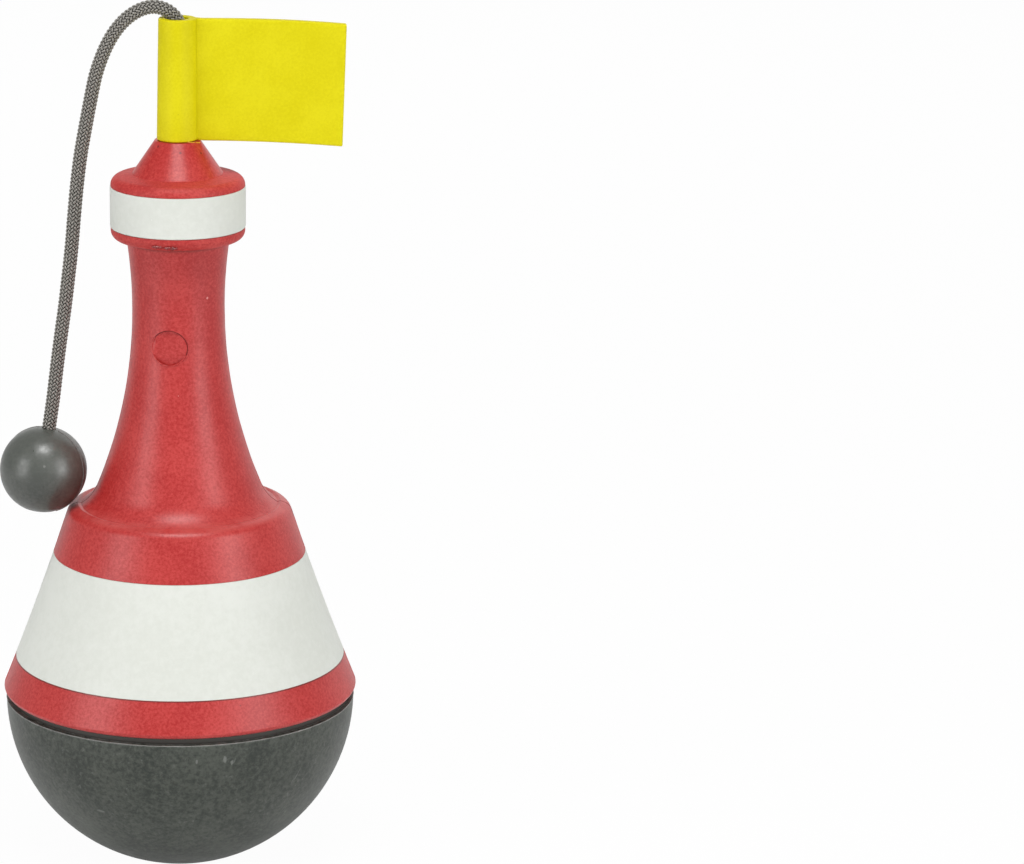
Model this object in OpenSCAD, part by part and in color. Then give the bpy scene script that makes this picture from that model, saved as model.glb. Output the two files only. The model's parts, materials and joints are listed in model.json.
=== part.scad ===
// Floating treat toy: a buoy with a flag and a throwing cord that screws onto a round treat cup.
// Millimetres, +Z up. The origin is the middle of the flat under the base.

/* [Base] */
// Diameter of the round rubber base
base_d = 114; // [105:1:125]
// Diameter of the flat that the toy stands on
rest_d = 28; // [20:1:36]
// Width of the step outside the sealing lip
step_w = 1.6; // [1.2:0.1:2.2]
// Width of the sealing lip
lip_w = 1.9; // [1.5:0.1:2.4]
// Height of the dark seam between base and buoy
seam_gap = 2.2; // [1.6:0.1:3]
// Diameter of the ballast disc
ballast_d = 46; // [30:1:48]
// Thickness of the ballast disc
ballast_t = 13; // [6:0.5:14]
// Least rubber between the ballast's lower edge and the base's outside
ballast_wall = 2.9; // [2:0.1:4]

/* [Seal] */
// Radial width of the seal ring
seal_w = 1.9; // [1.4:0.1:2.4]
// Height of the seal ring
seal_t = 3; // [2:0.1:4]

/* [Treat cup and chamber] */
// Wall of the cup liner
liner_wall = 3; // [2.2:0.1:3.6]
// Depth of the bowl below its thread
bowl_depth = 20; // [17:0.5:21]
// Fillet between the bowl's wall and its floor
bowl_fillet = 16; // [10:0.5:17]
// Width of the shelf below the thread
shelf_w = 4.5; // [3:0.1:6]
// Wall of the treat chamber
chamber_wall = 3; // [2.2:0.1:3.6]
// Length of the chamber's threaded neck
neck_len = 13; // [12:0.25:15]
// Depth of the chamber from its mouth to its end wall
chamber_depth = 33; // [24:0.5:36]
// How much narrower the chamber is at its end wall
chamber_taper = 4; // [3:0.1:8]
// Width of the chamber's flange
flange_w = 4.5; // [3.5:0.1:4.8]
// Thickness of the chamber's flange
flange_t = 2.5; // [2:0.1:3]

/* [Thread] */
// Distance between neighbouring thread ridges
thread_pitch = 4.5; // [4.2:0.1:4.8]
// Number of thread starts
thread_starts = 2; // [1:1:3]
// Depth of the ridges and ribs
thread_depth = 1.6; // [1.3:0.1:1.9]
// Thickness of a ridge at its tip
ridge_tip = 1.2; // [0.9:0.1:1.4]
// Angle that each rib of the cup covers
rib_arc = 36; // [30:1:48]
// Number of rib groups round the cup
rib_groups = 4; // [3:1:5]

/* [Buoy] */
// How far the skirt stands out over the base
skirt_over = 0.7; // [0.3:0.1:1.5]
// Height from the skirt's lower edge to the shoulder
shoulder_h = 61.7; // [56:0.1:68]
// Diameter of the shoulder's edge
shoulder_d = 72; // [68:0.2:76]
// How hollow the skirt is between its lower edge and the shoulder
skirt_hollow = 0.55; // [0:0.05:1.2]
// Rise of the ledge from the shoulder's edge to the neck
ledge_h = 3.2; // [1:0.1:4]
// Width of the rim round the ledge
rim_w = 3; // [2.4:0.1:3.2]
// Depth of the gutter inside the rim
gutter_depth = 0.3; // [0.2:0.1:1]
// Diameter of the neck at its narrowest
waist_d = 29.6; // [27:0.2:33]
// Height of the narrowest place over the shoulder
waist_h = 66.3; // [62:0.1:72]
// Radius of the neck's hollow curve
neck_curve = 154; // [148:1:185]
// Length of the neck over the shoulder
neck_h = 89; // [84:0.2:98]
// Wall of the hollow buoy
buoy_wall = 3.8; // [3.2:0.1:4.4]
// Thickness of the deck over the chamber's flange
deck_t = 2.6; // [2:0.1:4]
// Rounding of the skirt's lower edge
skirt_edge = 1.5; // [0.8:0.1:2]

/* [Bands] */
// Height of the waist band's lower edge over the skirt's
band_low = 11.6; // [8:0.1:16]
// Height of the waist band
band_h = 34.9; // [28:0.1:38]
// Thickness of both bands
band_t = 1.6; // [1.2:0.1:2]

/* [Collar] */
// Diameter of the collar
collar_d = 43.2; // [40:0.2:48]
// Height of the collar
collar_h = 21.5; // [19:0.5:26]
// Share of the height beside its band that the collar's rounding takes
collar_edge = 0.76; // [0.5:0.02:0.8]
// Height of the collar's band
collar_band_h = 13.5; // [11:0.1:14]
// How far the collar's band stands out
collar_band_over = 0.2; // [0.1:0.1:0.8]
// Height of the cone under the flag
cone_h = 10.8; // [8:0.2:14]
// Diameter of the cone's foot
cone_foot_d = 29.2; // [26:0.2:32]
// Diameter of the cone's top
cone_top_d = 14.6; // [14:0.2:17]
// Length of the plug that the cap has inside the neck
spigot_len = 13; // [9:0.5:16]
// Diameter of the plug that the cap has inside the neck
spigot_d = 22; // [19:0.2:22.4]

/* [Flag] */
// Outer diameter of the flag's sleeve
sleeve_d = 12.8; // [12.2:0.1:14]
// Length of the flag's sleeve
sleeve_len = 39.3; // [34:0.1:46]
// Reach of the flag from the mast's axis
flag_reach = 54; // [44:0.5:56]
// Thickness of the flag
flag_t = 3; // [2:0.1:4]
// Angle that the flag droops by
flag_droop = 1.8; // [0:0.1:4]
// Diameter of the mast
mast_d = 9; // [8.6:0.1:9.4]
// Distance from the mast's top to the sleeve's mouth
mast_below = 18.3; // [17:0.1:20]
// Thickness of the lip round the cord in the sleeve's mouth
mouth_lip = 2; // [1.2:0.1:3]

/* [Cord and ball] */
// Diameter of the cord
cord_d = 4.4; // [3.6:0.1:4.6]
// Diameter of the stopper knot
knot_d = 11; // [9:0.2:13]
// Diameter of the ball
ball_d = 28.2; // [24:0.2:29]
// Diameter of the knot's recess under the ball
recess_d = 11; // [9:0.2:13]
// Depth of the knot's recess
recess_depth = 8; // [6:0.2:9]

/* [Vent plug] */
// Diameter of the plug in the neck
plug_d = 11.6; // [8:0.2:12]
// Height of the plug's middle over the shoulder
plug_h = 56; // [48:0.2:64]
// Direction of the plug, from +X
plug_turn = -102; // [-130:1:-60]
// How far the plug's flat face lies under the neck's surface
plug_sink = 0.8; // [0:0.1:1.2]

/* [Clearances] */
// Gap between pieces that are glued or pressed together
fit_gap = 0.1; // [0.05:0.05:0.2]
// Gap between pieces that turn on each other
run_gap = 0.1; // [0.05:0.01:0.1]
// Gap between pieces that move past each other
free_gap = 0.4; // [0.3:0.05:0.5]
// Gap between the thread's flanks
flank_gap = 0.4; // [0.3:0.05:0.5]

/* [Hidden] */
$fn = 96;

// Steps of arcs in the outlines, in degrees
arc_step = 4;
// Angle between the sections of a thread ridge
thread_step = 6;
// Angle over which a ridge runs out at each end, and what its blunt ends leave out of that
run_out = 15;
blunt = 1;
// How deep a ridge is rooted in its wall
root_depth = 0.8;
// How much wider a ridge is at its wall than at its tip
ridge_flare = 0.9;
// Height between the points of the neck's curve and of the skirt's
neck_step = 4;
skirt_step = 6;
// Extra length of cutting shapes
over = 1;
// Gap between faces that rest on each other
seat_gap = 0.1;
// Drop from the chamber's mouth to the cup's shelf
shelf_drop = 1.6;

// Heights of the base and its seam
equator_z = sqrt(pow(base_d / 2, 2) - pow(rest_d / 2, 2));
step_drop = 0.4;
step_z = equator_z - step_drop;
skirt_z = step_z + seam_gap;
lip_z = skirt_z - 2 * seat_gap;
seal_z = skirt_z - seat_gap - seal_t;
rim_z = skirt_z - free_gap;

// Radii of the base's rim, from outside in
lip_out_r = base_d / 2 - step_w;
lip_in_r = lip_out_r - lip_w;
groove_w = seal_w + 2 * free_gap;
liner_r = lip_in_r - groove_w;
thread_r = liner_r - liner_wall;
rib_r = thread_r - thread_depth;
neck_r = rib_r - free_gap;
ridge_r = neck_r + thread_depth;

// Heights of the cup and the chamber
mouth_z = skirt_z - neck_len;
shelf_z = mouth_z - shelf_drop;
bowl_z = shelf_z - bowl_depth;
bowl_r = thread_r - shelf_w;
liner_z = bowl_z - liner_wall;
end_z = mouth_z + chamber_depth;
chamber_r = neck_r - chamber_wall;
flange_r = neck_r + flange_w;
ballast_z = liner_z - fit_gap - ballast_t;

// Thread: the cup's ribs lie midway between the chamber's ridges
thread_lead = thread_pitch * thread_starts;
ridge_root = ridge_tip + ridge_flare;
rib_root = thread_pitch - ridge_tip - 2 * flank_gap + ridge_flare * free_gap / thread_depth;
rib_tip = rib_root - ridge_flare;
ridge_z = mouth_z + ridge_root;
ridge_end_z = skirt_z - 2 * ridge_root;
ridge_arc = 360 * (ridge_end_z - ridge_z) / thread_lead;
ribs_per_group = 2;
rib_window_z = rim_z - ribs_per_group * thread_pitch - rib_root;

// Heights of the buoy
skirt_r = base_d / 2 + skirt_over;
shoulder_z = skirt_z + shoulder_h;
shoulder_r = shoulder_d / 2;
ledge_z = shoulder_z + ledge_h;
waist_z = shoulder_z + waist_h;
neck_z = shoulder_z + neck_h;
collar_z = neck_z + collar_h;
cone_z = collar_z + cone_h;
shoulder_round = 4;
rim_rise = 1.2;
gutter_w = 1.1;
gutter_round = 0.3;
// Rounding between ledge and neck, as a share of the largest that fits there
ledge_share = 0.93;
cone_slope = (skirt_r - shoulder_r) / (shoulder_h - skirt_edge);
wall_across = buoy_wall * sqrt(1 + pow(cone_slope, 2));
deck_z = skirt_z + flange_t + fit_gap + deck_t;
spigot_z = neck_z - spigot_len;
band_z = skirt_z + band_low;
plug_z = shoulder_z + plug_h;
plug_face_r = neck_outer_r(plug_z) - plug_sink;

// Height beside the collar's band, and how much of it the collar's top falls by
collar_room = (collar_h - collar_band_h) / 2;
collar_fall = 0.3;

// Flag, mast and cord
sleeve_z = cone_z + seat_gap;
mouth_top_z = sleeve_z + sleeve_len;
mast_z = mouth_top_z - mast_below;
mast_r = mast_d / 2;
sleeve_bore_r = mast_r + run_gap;
cord_r = cord_d / 2;
cord_bore_r = cord_r + run_gap;
knot_z = spigot_z - seat_gap;
// Room beside the cord in the sleeve's mouth, where the cord leans over
mouth_play = 1.4;
mouth_r = cord_r + mouth_play;
flag_corner = 0.8;
flag_hang = 0.2;

// Route of the cord from the mast's top, as x and height over the sleeve's mouth
cord_route = [[0, -mast_below], [0.3, -14.3], [0.9, -10.3], [1.3, -7.8], [1.4, -5.4], [0.96, -2.65],
              [-0.3, -0.15], [-2.25, 1.85], [-4.75, 3.12], [-7.5, 3.55], [-10.5, 3], [-13.6, 1.5],
              [-16.8, -1], [-19.8, -4.6], [-22.2, -8.7], [-24.2, -13.3], [-26, -18.8], [-27.5, -25.8],
              [-29.15, -34.3], [-30.95, -44.3], [-32.25, -54.3], [-33.25, -64.3], [-34.15, -74.3],
              [-35.3, -84.3], [-36.55, -94.3], [-38, -104.3], [-39.35, -114.3], [-40.6, -124.3],
              [-42.1, -134.4]];
// Lean of the cord where it enters the ball
ball_lean = 8;
cord_sides = 12;

function unit(v) = v / norm(v);

// Arc that rounds the corner b between a and c
function corner(a, b, c, r) =
    let (u = unit(a - b), v = unit(c - b), half = acos(u * v) / 2, turn = 180 - 2 * half)
    let (mid = b + unit(u + v) * r / sin(half), reach = r / tan(half))
    let (from = b + u * reach - mid, to = b + v * reach - mid, steps = max(1, ceil(turn / arc_step)))
    [for (i = [0 : steps])
        let (s = i / steps)
        mid + (from * sin((1 - s) * turn) + to * sin(s * turn)) / sin(turn)];

// Largest rounding that fits the corner b between a and c
function corner_room(a, b, c) =
    let (half = acos(unit(a - b) * unit(c - b)) / 2)
    min(norm(a - b), norm(c - b)) * tan(half);

// Closed outline from [x, y, rounding] corners
function rounded(points) =
    let (n = len(points))
    [for (i = [0 : n - 1])
        let (b = points[i], a = points[(i + n - 1) % n], c = points[(i + 1) % n])
        each (len(b) < 3 || b[2] == 0
            ? [[b[0], b[1]]]
            : corner([a[0], a[1]], [b[0], b[1]], [c[0], c[1]], b[2]))];

// Outer radius of the skirt's hollow cone at a height
function cone_r(z) =
    let (t = (z - skirt_z - skirt_edge) / (shoulder_h - skirt_edge))
    skirt_r - (skirt_r - shoulder_r) * t - 4 * skirt_hollow * t * (1 - t);

// Outer radius of the neck at a height
function neck_outer_r(z) = waist_d / 2 + neck_curve - sqrt(pow(neck_curve, 2) - pow(z - waist_z, 2));

// Even heights from one to another
function heights(from_z, to_z, step) =
    let (steps = ceil(abs(to_z - from_z) / step))
    [for (i = [0 : steps]) from_z + (to_z - from_z) * i / steps];

// Points along the neck's curve, set back by a wall
function neck_points(from_z, to_z, back) =
    [for (z = heights(from_z, to_z, neck_step)) [neck_outer_r(z) - back, z]];

// Points along the skirt's curve, set back by a wall
function cone_points(from_z, to_z, back) =
    [for (z = heights(from_z, to_z, skirt_step)) [cone_r(z) - back, z]];

// Sections of a helical ridge, as rings of four points that start at the wall
function ridge_rings(wall_r, tip_r, root_w, tip_w, turn, arc, z) =
    let (inward = tip_r < wall_r, near = wall_r + (inward ? root_depth : -root_depth))
    let (steps = ceil(arc / thread_step))
    [for (i = [0 : steps])
        let (a = arc * i / steps, mid = z + thread_lead * a / 360)
        let (show = min(1, (a + blunt) / run_out, (arc - a + blunt) / run_out))
        let (far = wall_r + (tip_r - wall_r) * show, w_far = root_w + (tip_w - root_w) * show)
        let (pair = inward ? [[far, w_far], [near, root_w]] : [[near, root_w], [far, w_far]])
        [for (p = [[pair[0][0], -pair[0][1]], [pair[0][0], pair[0][1]],
                   [pair[1][0], pair[1][1]], [pair[1][0], -pair[1][1]]])
            [p[0] * cos(turn + a), p[0] * sin(turn + a), mid + p[1] / 2]]];

// Solid through a row of rings that all have the same number of points
module loft(rings) {
    sides = len(rings[0]);
    last = len(rings) - 1;
    points = [for (ring = rings) each ring];
    walls = [for (i = [0 : last - 1], j = [0 : sides - 1])
        let (k = (j + 1) % sides, a = i * sides, b = a + sides)
        each [[a + j, b + k, a + k], [a + j, b + j, b + k]]];
    start = [for (j = [1 : sides - 2]) [0, j, j + 1]];
    end = [for (j = [1 : sides - 2]) [last * sides, last * sides + j + 1, last * sides + j]];
    polyhedron(points = points, faces = concat(walls, start, end), convexity = 10);
}

module ridge(wall_r, tip_r, root_w, tip_w, turn, arc, z) {
    loft(ridge_rings(wall_r, tip_r, root_w, tip_w, turn, arc, z));
}

module ring(outer_r, inner_r, h) {
    difference() {
        cylinder(h = h, r = outer_r);
        translate([0, 0, -over]) cylinder(h = h + 2 * over, r = inner_r);
    }
}

// Outside of the liner, grown by a gap
module liner_outside(gap) {
    bowl_out = bowl_r + liner_wall + gap;
    rotate_extrude()
        polygon(rounded([[0, liner_z - gap], [bowl_out, liner_z - gap, bowl_fillet + liner_wall],
                         [bowl_out, shelf_z - liner_wall - gap], [liner_r + gap, shelf_z - liner_wall - gap],
                         [liner_r + gap, rim_z], [0, rim_z]]));
}

// Room of the ballast in the base's foot, grown by a gap
module ballast_room(gap) {
    intersection() {
        translate([0, 0, ballast_z - gap]) cylinder(h = ballast_t + 2 * gap, d = ballast_d + 2 * gap);
        translate([0, 0, equator_z]) sphere(d = base_d - 2 * ballast_wall + 2 * gap, $fn = 180);
    }
}

module base_shell() {
    color([0.27, 0.31, 0.31])
    difference() {
        union() {
            intersection() {
                translate([0, 0, equator_z]) sphere(d = base_d, $fn = 180);
                cylinder(h = step_z, d = base_d + over);
            }
            translate([0, 0, step_z - over]) cylinder(h = lip_z - step_z + over, r = lip_out_r);
        }
        liner_outside(fit_gap);
        translate([0, 0, seal_z]) cylinder(h = lip_z, r = lip_in_r);
        ballast_room(fit_gap);
    }
}

module ballast_disc() {
    color([0.45, 0.46, 0.48])
    ballast_room(0);
}

module cup_liner() {
    color([0.78, 0.8, 0.81])
    union() {
        difference() {
            liner_outside(0);
            rotate_extrude()
                polygon(rounded([[0, bowl_z], [bowl_r, bowl_z, bowl_fillet], [bowl_r, shelf_z],
                                 [thread_r, shelf_z], [thread_r, rim_z + over], [0, rim_z + over]]));
        }
        cup_ribs();
    }
}

module cup_ribs() {
    for (g = [0 : rib_groups - 1], n = [0 : ribs_per_group - 1]) {
        turn = 360 * g / rib_groups;
        mesh_z = ridge_z + thread_pitch / 2 + thread_lead * turn / 360 - rib_window_z;
        lift = mesh_z - thread_pitch * floor(mesh_z / thread_pitch);
        ridge(thread_r, rib_r, rib_root, rib_tip, turn, rib_arc, rib_window_z + lift + n * thread_pitch);
    }
}

module seal_ring() {
    color([0.12, 0.12, 0.13])
    translate([0, 0, seal_z]) ring(lip_in_r - free_gap, liner_r + free_gap, seal_t);
}

// Hollow body of the buoy, without the plug's hole
module buoy_wall_solid() {
    seat_r = flange_r + fit_gap;
    hole_r = neck_r + fit_gap;
    ledge_in = shoulder_z - buoy_wall;
    inner_low = neck_points(spigot_z - fit_gap, ledge_z - buoy_wall, buoy_wall);
    outer = neck_points(ledge_z, neck_z, 0);
    gutter_r = shoulder_r - rim_w - gutter_w;
    rim_top = shoulder_z + rim_rise;
    gutter_z = rim_top - gutter_depth;
    ledge_round = ledge_share * corner_room([gutter_r, gutter_z], outer[0], outer[1]);
    foot = concat([[seat_r, skirt_z], [skirt_r, skirt_z, skirt_edge]],
                  cone_points(skirt_z + skirt_edge, shoulder_z - shoulder_round, 0));
    ledge = [[shoulder_r, shoulder_z, shoulder_round], [gutter_r + gutter_w, rim_top, gutter_round],
             [gutter_r, gutter_z, gutter_round], [outer[0][0], outer[0][1], ledge_round]];
    top = [for (i = [1 : len(outer) - 1]) outer[i]];
    socket = [[spigot_d / 2 + fit_gap, neck_z], [spigot_d / 2 + fit_gap, spigot_z - fit_gap]];
    inner_cone = cone_points(ledge_in, deck_z, wall_across);
    inner_wall = [for (i = [0 : len(inner_cone) - 1])
        i == 0 ? [inner_cone[i][0], inner_cone[i][1], shoulder_round] : inner_cone[i]];
    seat = [[hole_r, deck_z], [hole_r, skirt_z + flange_t + fit_gap], [seat_r, skirt_z + flange_t + fit_gap]];
    rotate_extrude() polygon(rounded(concat(foot, ledge, top, socket, inner_low, inner_wall, seat)));
}

// Hollow cone that cuts the waist band's recess or shapes its outside
module band_cone(back, low, high) {
    rotate_extrude() polygon(concat([[0, low]], cone_points(low, high, back), [[0, high]]));
}

module buoy_shell() {
    color([0.72, 0.16, 0.17])
    difference() {
        buoy_wall_solid();
        difference() {
            translate([0, 0, band_z]) cylinder(h = band_h, r = skirt_r + over);
            band_cone(band_t, band_z - over, band_z + band_h + over);
        }
        plug_bar(plug_d, skirt_r);
    }
}

module waist_band() {
    low = band_z + fit_gap;
    high = band_z + band_h - fit_gap;
    color([0.86, 0.87, 0.83])
    difference() {
        band_cone(0, low, high);
        band_cone(band_t - fit_gap, low - over, high + over);
    }
}

// Round bar from the toy's axis out to a reach, in the plug's direction
module plug_bar(d, reach) {
    translate([0, 0, plug_z]) rotate([0, 90, plug_turn]) cylinder(h = reach, d = d);
}

module vent_plug() {
    color([0.72, 0.16, 0.17])
    intersection() {
        buoy_wall_solid();
        plug_bar(plug_d - 2 * fit_gap, plug_face_r);
    }
}

module treat_chamber() {
    body_r = neck_r - chamber_taper;
    mouth_round = 0.6;
    color([0.78, 0.8, 0.81])
    union() {
        rotate_extrude()
            polygon(rounded([[chamber_r, mouth_z, mouth_round], [neck_r, mouth_z, mouth_round],
                             [neck_r, skirt_z], [flange_r, skirt_z], [flange_r, skirt_z + flange_t],
                             [neck_r, skirt_z + flange_t], [neck_r, deck_z],
                             [body_r, end_z + chamber_wall, chamber_wall], [0, end_z + chamber_wall],
                             [0, end_z], [body_r - chamber_wall, end_z, chamber_wall],
                             [chamber_r, deck_z]]));
        for (s = [0 : thread_starts - 1])
            ridge(neck_r, ridge_r, ridge_root, ridge_tip, 360 * s / thread_starts, ridge_arc, ridge_z);
    }
}

module collar_cap() {
    groove_low = neck_z + collar_room;
    groove_r = collar_d / 2 - band_t;
    edge = collar_edge * collar_room;
    color([0.72, 0.16, 0.17])
    difference() {
        rotate_extrude()
            polygon(rounded([[0, spigot_z], [spigot_d / 2, spigot_z], [spigot_d / 2, neck_z],
                             [collar_d / 2, neck_z, edge], [collar_d / 2, groove_low],
                             [groove_r, groove_low], [groove_r, groove_low + collar_band_h],
                             [collar_d / 2, groove_low + collar_band_h],
                             [collar_d / 2, collar_z - collar_fall * collar_room, edge],
                             [cone_foot_d / 2, collar_z], [cone_top_d / 2, cone_z], [0, cone_z]]));
        translate([0, 0, spigot_z - over])
            cylinder(h = cone_z - spigot_z + 2 * over, r = mast_r + fit_gap / 2);
    }
}

module collar_band() {
    low = neck_z + collar_room + fit_gap;
    high = low + collar_band_h - 2 * fit_gap;
    outer_r = collar_d / 2 + collar_band_over;
    inner_r = collar_d / 2 - band_t + fit_gap;
    edge = collar_band_over * 2;
    color([0.86, 0.87, 0.83])
    rotate_extrude()
        polygon(rounded([[inner_r, low], [outer_r, low, edge], [outer_r, high, edge], [inner_r, high]]));
}

module flag_mast() {
    color([0.75, 0.76, 0.77])
    translate([0, 0, spigot_z]) ring(mast_r, cord_bore_r, mast_z - spigot_z);
}

module flag() {
    fall = tan(flag_droop);
    high = mouth_top_z - seat_gap;
    root = sleeve_bore_r + run_gap;
    hang_r = cone_top_d / 2 + flag_hang;
    low = sleeve_z - flag_hang;
    color([0.88, 0.83, 0.1])
    difference() {
        union() {
            translate([0, 0, sleeve_z]) cylinder(h = sleeve_len, d = sleeve_d);
            translate([0, flag_t / 2, 0])
            rotate([90, 0, 0])
            linear_extrude(flag_t)
                polygon(rounded([[root, sleeve_z + seat_gap], [cone_top_d / 2, sleeve_z + seat_gap],
                                 [hang_r, low],
                                 [flag_reach - fall * sleeve_len, low - fall * flag_reach, flag_corner],
                                 [flag_reach, high - fall * flag_reach, flag_corner], [root, high]]));
        }
        translate([0, 0, sleeve_z - over]) cylinder(h = sleeve_len - mouth_lip + over, r = sleeve_bore_r);
        translate([0, 0, sleeve_z]) cylinder(h = sleeve_len + over, r = mouth_r);
    }
}

module cord_anchor() {
    color([0.55, 0.53, 0.5])
    union() {
        translate([0, 0, knot_z - knot_d / 2]) cylinder(h = mast_z - knot_z + knot_d / 2, r = cord_r);
        intersection() {
            translate([0, 0, knot_z - knot_d / 2]) sphere(d = knot_d);
            translate([0, 0, knot_z - knot_d]) cylinder(h = knot_d, d = knot_d);
        }
    }
}

// Direction of the cord's route at a point
function route_way(i) =
    let (last = len(cord_route) - 1)
    i == 0 ? [0, 1]
    : i == last ? [-sin(ball_lean), -cos(ball_lean)]
    : unit(unit(cord_route[i + 1] - cord_route[i]) + unit(cord_route[i] - cord_route[i - 1]));

// Ring of points round the cord at a point of its route
function route_ring(i) =
    let (at = cord_route[i], way = route_way(i))
    [for (j = [0 : cord_sides - 1])
        let (side = cord_r * cos(360 * j / cord_sides), depth = cord_r * sin(360 * j / cord_sides))
        [at[0] + way[1] * side, depth, mouth_top_z + at[1] - way[0] * side]];

module throw_cord() {
    color([0.55, 0.53, 0.5])
    loft([for (i = [0 : len(cord_route) - 1]) route_ring(i)]);
}

// Places its children with the cord's end at the origin and the cord coming in along +Z
module at_cord_end() {
    end = cord_route[len(cord_route) - 1];
    translate([end[0], 0, mouth_top_z + end[1]]) rotate([0, ball_lean, 0]) children();
}

module throw_ball() {
    color([0.3, 0.31, 0.33])
    at_cord_end()
    difference() {
        translate([0, 0, -ball_d / 2]) sphere(d = ball_d, $fn = 128);
        translate([0, 0, -ball_d - over]) cylinder(h = ball_d + 3 * over, r = cord_r + fit_gap);
        translate([0, 0, -ball_d - over]) cylinder(h = recess_depth + over, d = recess_d);
    }
}

module ball_anchor() {
    knot_top = recess_depth - ball_d - seat_gap;
    knot_r = recess_d / 2 - free_gap;
    color([0.55, 0.53, 0.5])
    at_cord_end()
    union() {
        translate([0, 0, knot_top - over]) cylinder(h = over - knot_top, r = cord_r);
        intersection() {
            translate([0, 0, knot_top - knot_r / 2]) sphere(r = knot_r);
            translate([0, 0, knot_top - 2 * knot_r]) cylinder(h = 2 * knot_r, r = knot_r);
        }
    }
}

base_shell();
ballast_disc();
cup_liner();
seal_ring();
buoy_shell();
treat_chamber();
waist_band();
vent_plug();
collar_cap();
collar_band();
flag_mast();
flag();
cord_anchor();
throw_cord();
throw_ball();
ball_anchor();
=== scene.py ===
"""Looks of the floating treat toy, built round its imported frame.

Lengths of pieces and patterns are millimetres, and are turned into metres where a mesh or material is made.
The studio's lengths are metres. Angles in fields are degrees, where no name says radians.
The axes are the frame's own: +Z up, the origin in the middle under the round base.
"""

from __future__ import annotations

import json
import logging
import math
from dataclasses import dataclass, field, replace
from enum import Enum

import bmesh
import bpy
from mathutils import Matrix, Vector

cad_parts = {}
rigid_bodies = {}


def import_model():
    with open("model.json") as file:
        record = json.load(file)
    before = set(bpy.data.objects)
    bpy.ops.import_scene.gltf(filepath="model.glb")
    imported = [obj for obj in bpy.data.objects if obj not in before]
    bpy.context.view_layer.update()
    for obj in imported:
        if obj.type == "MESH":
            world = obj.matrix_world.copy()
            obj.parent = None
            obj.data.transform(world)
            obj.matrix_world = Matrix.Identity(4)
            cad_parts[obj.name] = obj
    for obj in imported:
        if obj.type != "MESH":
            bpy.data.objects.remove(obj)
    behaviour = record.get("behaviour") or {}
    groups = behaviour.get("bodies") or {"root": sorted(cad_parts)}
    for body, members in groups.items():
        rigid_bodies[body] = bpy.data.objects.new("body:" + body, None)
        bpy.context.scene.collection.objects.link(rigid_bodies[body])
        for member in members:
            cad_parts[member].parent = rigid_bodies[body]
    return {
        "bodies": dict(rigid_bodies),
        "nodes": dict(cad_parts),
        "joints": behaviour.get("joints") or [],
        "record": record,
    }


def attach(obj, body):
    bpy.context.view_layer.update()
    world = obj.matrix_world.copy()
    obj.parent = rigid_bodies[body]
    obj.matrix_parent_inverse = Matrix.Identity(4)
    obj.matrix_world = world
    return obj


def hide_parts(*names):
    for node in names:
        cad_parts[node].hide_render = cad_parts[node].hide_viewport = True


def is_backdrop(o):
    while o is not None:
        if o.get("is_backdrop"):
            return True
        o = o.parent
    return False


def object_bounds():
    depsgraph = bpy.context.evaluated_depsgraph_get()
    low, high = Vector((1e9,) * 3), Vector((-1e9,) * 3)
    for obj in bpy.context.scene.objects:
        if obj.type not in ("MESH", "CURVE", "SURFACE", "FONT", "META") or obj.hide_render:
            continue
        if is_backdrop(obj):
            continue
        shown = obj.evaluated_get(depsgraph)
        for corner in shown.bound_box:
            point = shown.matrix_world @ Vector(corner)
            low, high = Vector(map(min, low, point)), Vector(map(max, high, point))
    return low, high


LOG = logging.getLogger("treat_toy")
MM = 0.001

Colour = tuple[float, float, float]
Point = tuple[float, float, float]
Span = tuple[float, float]
Feed = bpy.types.NodeSocket | float | int | tuple | str


class Way(Enum):
    """Hand of a strand of the braid."""

    RIGHT = 1
    LEFT = -1


def spaced(low: float, high: float, steps: int) -> list[float]:
    """Gives evenly spaced numbers.

    Args:
        low: the first number.
        high: the last one.
        steps: how many steps lie between them.

    Returns:
        The numbers, both ends included.
    """
    return [low + (high - low) * i / steps for i in range(steps + 1)]


def polar(reach: float, turn: float, z: float) -> Vector:
    """Gives a point round the toy's axis.

    Args:
        reach: its distance from the axis.
        turn: its angle round the axis, in radians.
        z: its height.

    Returns:
        The point, in metres.
    """
    return Vector((reach * math.cos(turn), reach * math.sin(turn), z)) * MM


class Tree:
    """Short calls for adding and joining nodes in one tree."""

    def __init__(self, tree: bpy.types.NodeTree) -> None:
        """Keeps the node tree that the calls work on."""
        self.tree = tree

    def add(self, kind: str, inputs: dict | None = None, **settings: object) -> bpy.types.Node:
        """Adds one node.

        Args:
            kind: Blender's type name of the node.
            inputs: what feeds its sockets, by name or number.
            settings: properties of the node itself.

        Returns:
            The new node.
        """
        node = self.tree.nodes.new(kind)
        for name, value in settings.items():
            setattr(node, name, value)
        for key, value in (inputs or {}).items():
            self.feed(node.inputs[key], value)
        return node

    def feed(self, socket: bpy.types.NodeSocket, value: Feed) -> None:
        """Joins a socket to another one or sets its value.

        Args:
            socket: the socket to fill.
            value: another socket, or a plain value.
        """
        if isinstance(value, bpy.types.NodeSocket):
            self.tree.links.new(value, socket)
        else:
            socket.default_value = value

    def math(self, kind: str, *values: Feed) -> bpy.types.NodeSocket:
        """Adds a sum on numbers, such as ADD, and gives its socket."""
        return self.add("ShaderNodeMath", dict(enumerate(values)), operation=kind).outputs[0]

    def vector(self, kind: str, *values: Feed) -> bpy.types.NodeSocket:
        """Adds a sum on vectors, such as CROSS_PRODUCT, and gives its socket."""
        return self.add("ShaderNodeVectorMath", dict(enumerate(values)), operation=kind).outputs[0]

    def scaled(self, vector: Feed, factor: Feed) -> bpy.types.NodeSocket:
        """Scales a vector by a factor and gives its socket."""
        node = self.add("ShaderNodeVectorMath", {0: vector, "Scale": factor}, operation="SCALE")
        return node.outputs[0]


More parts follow.
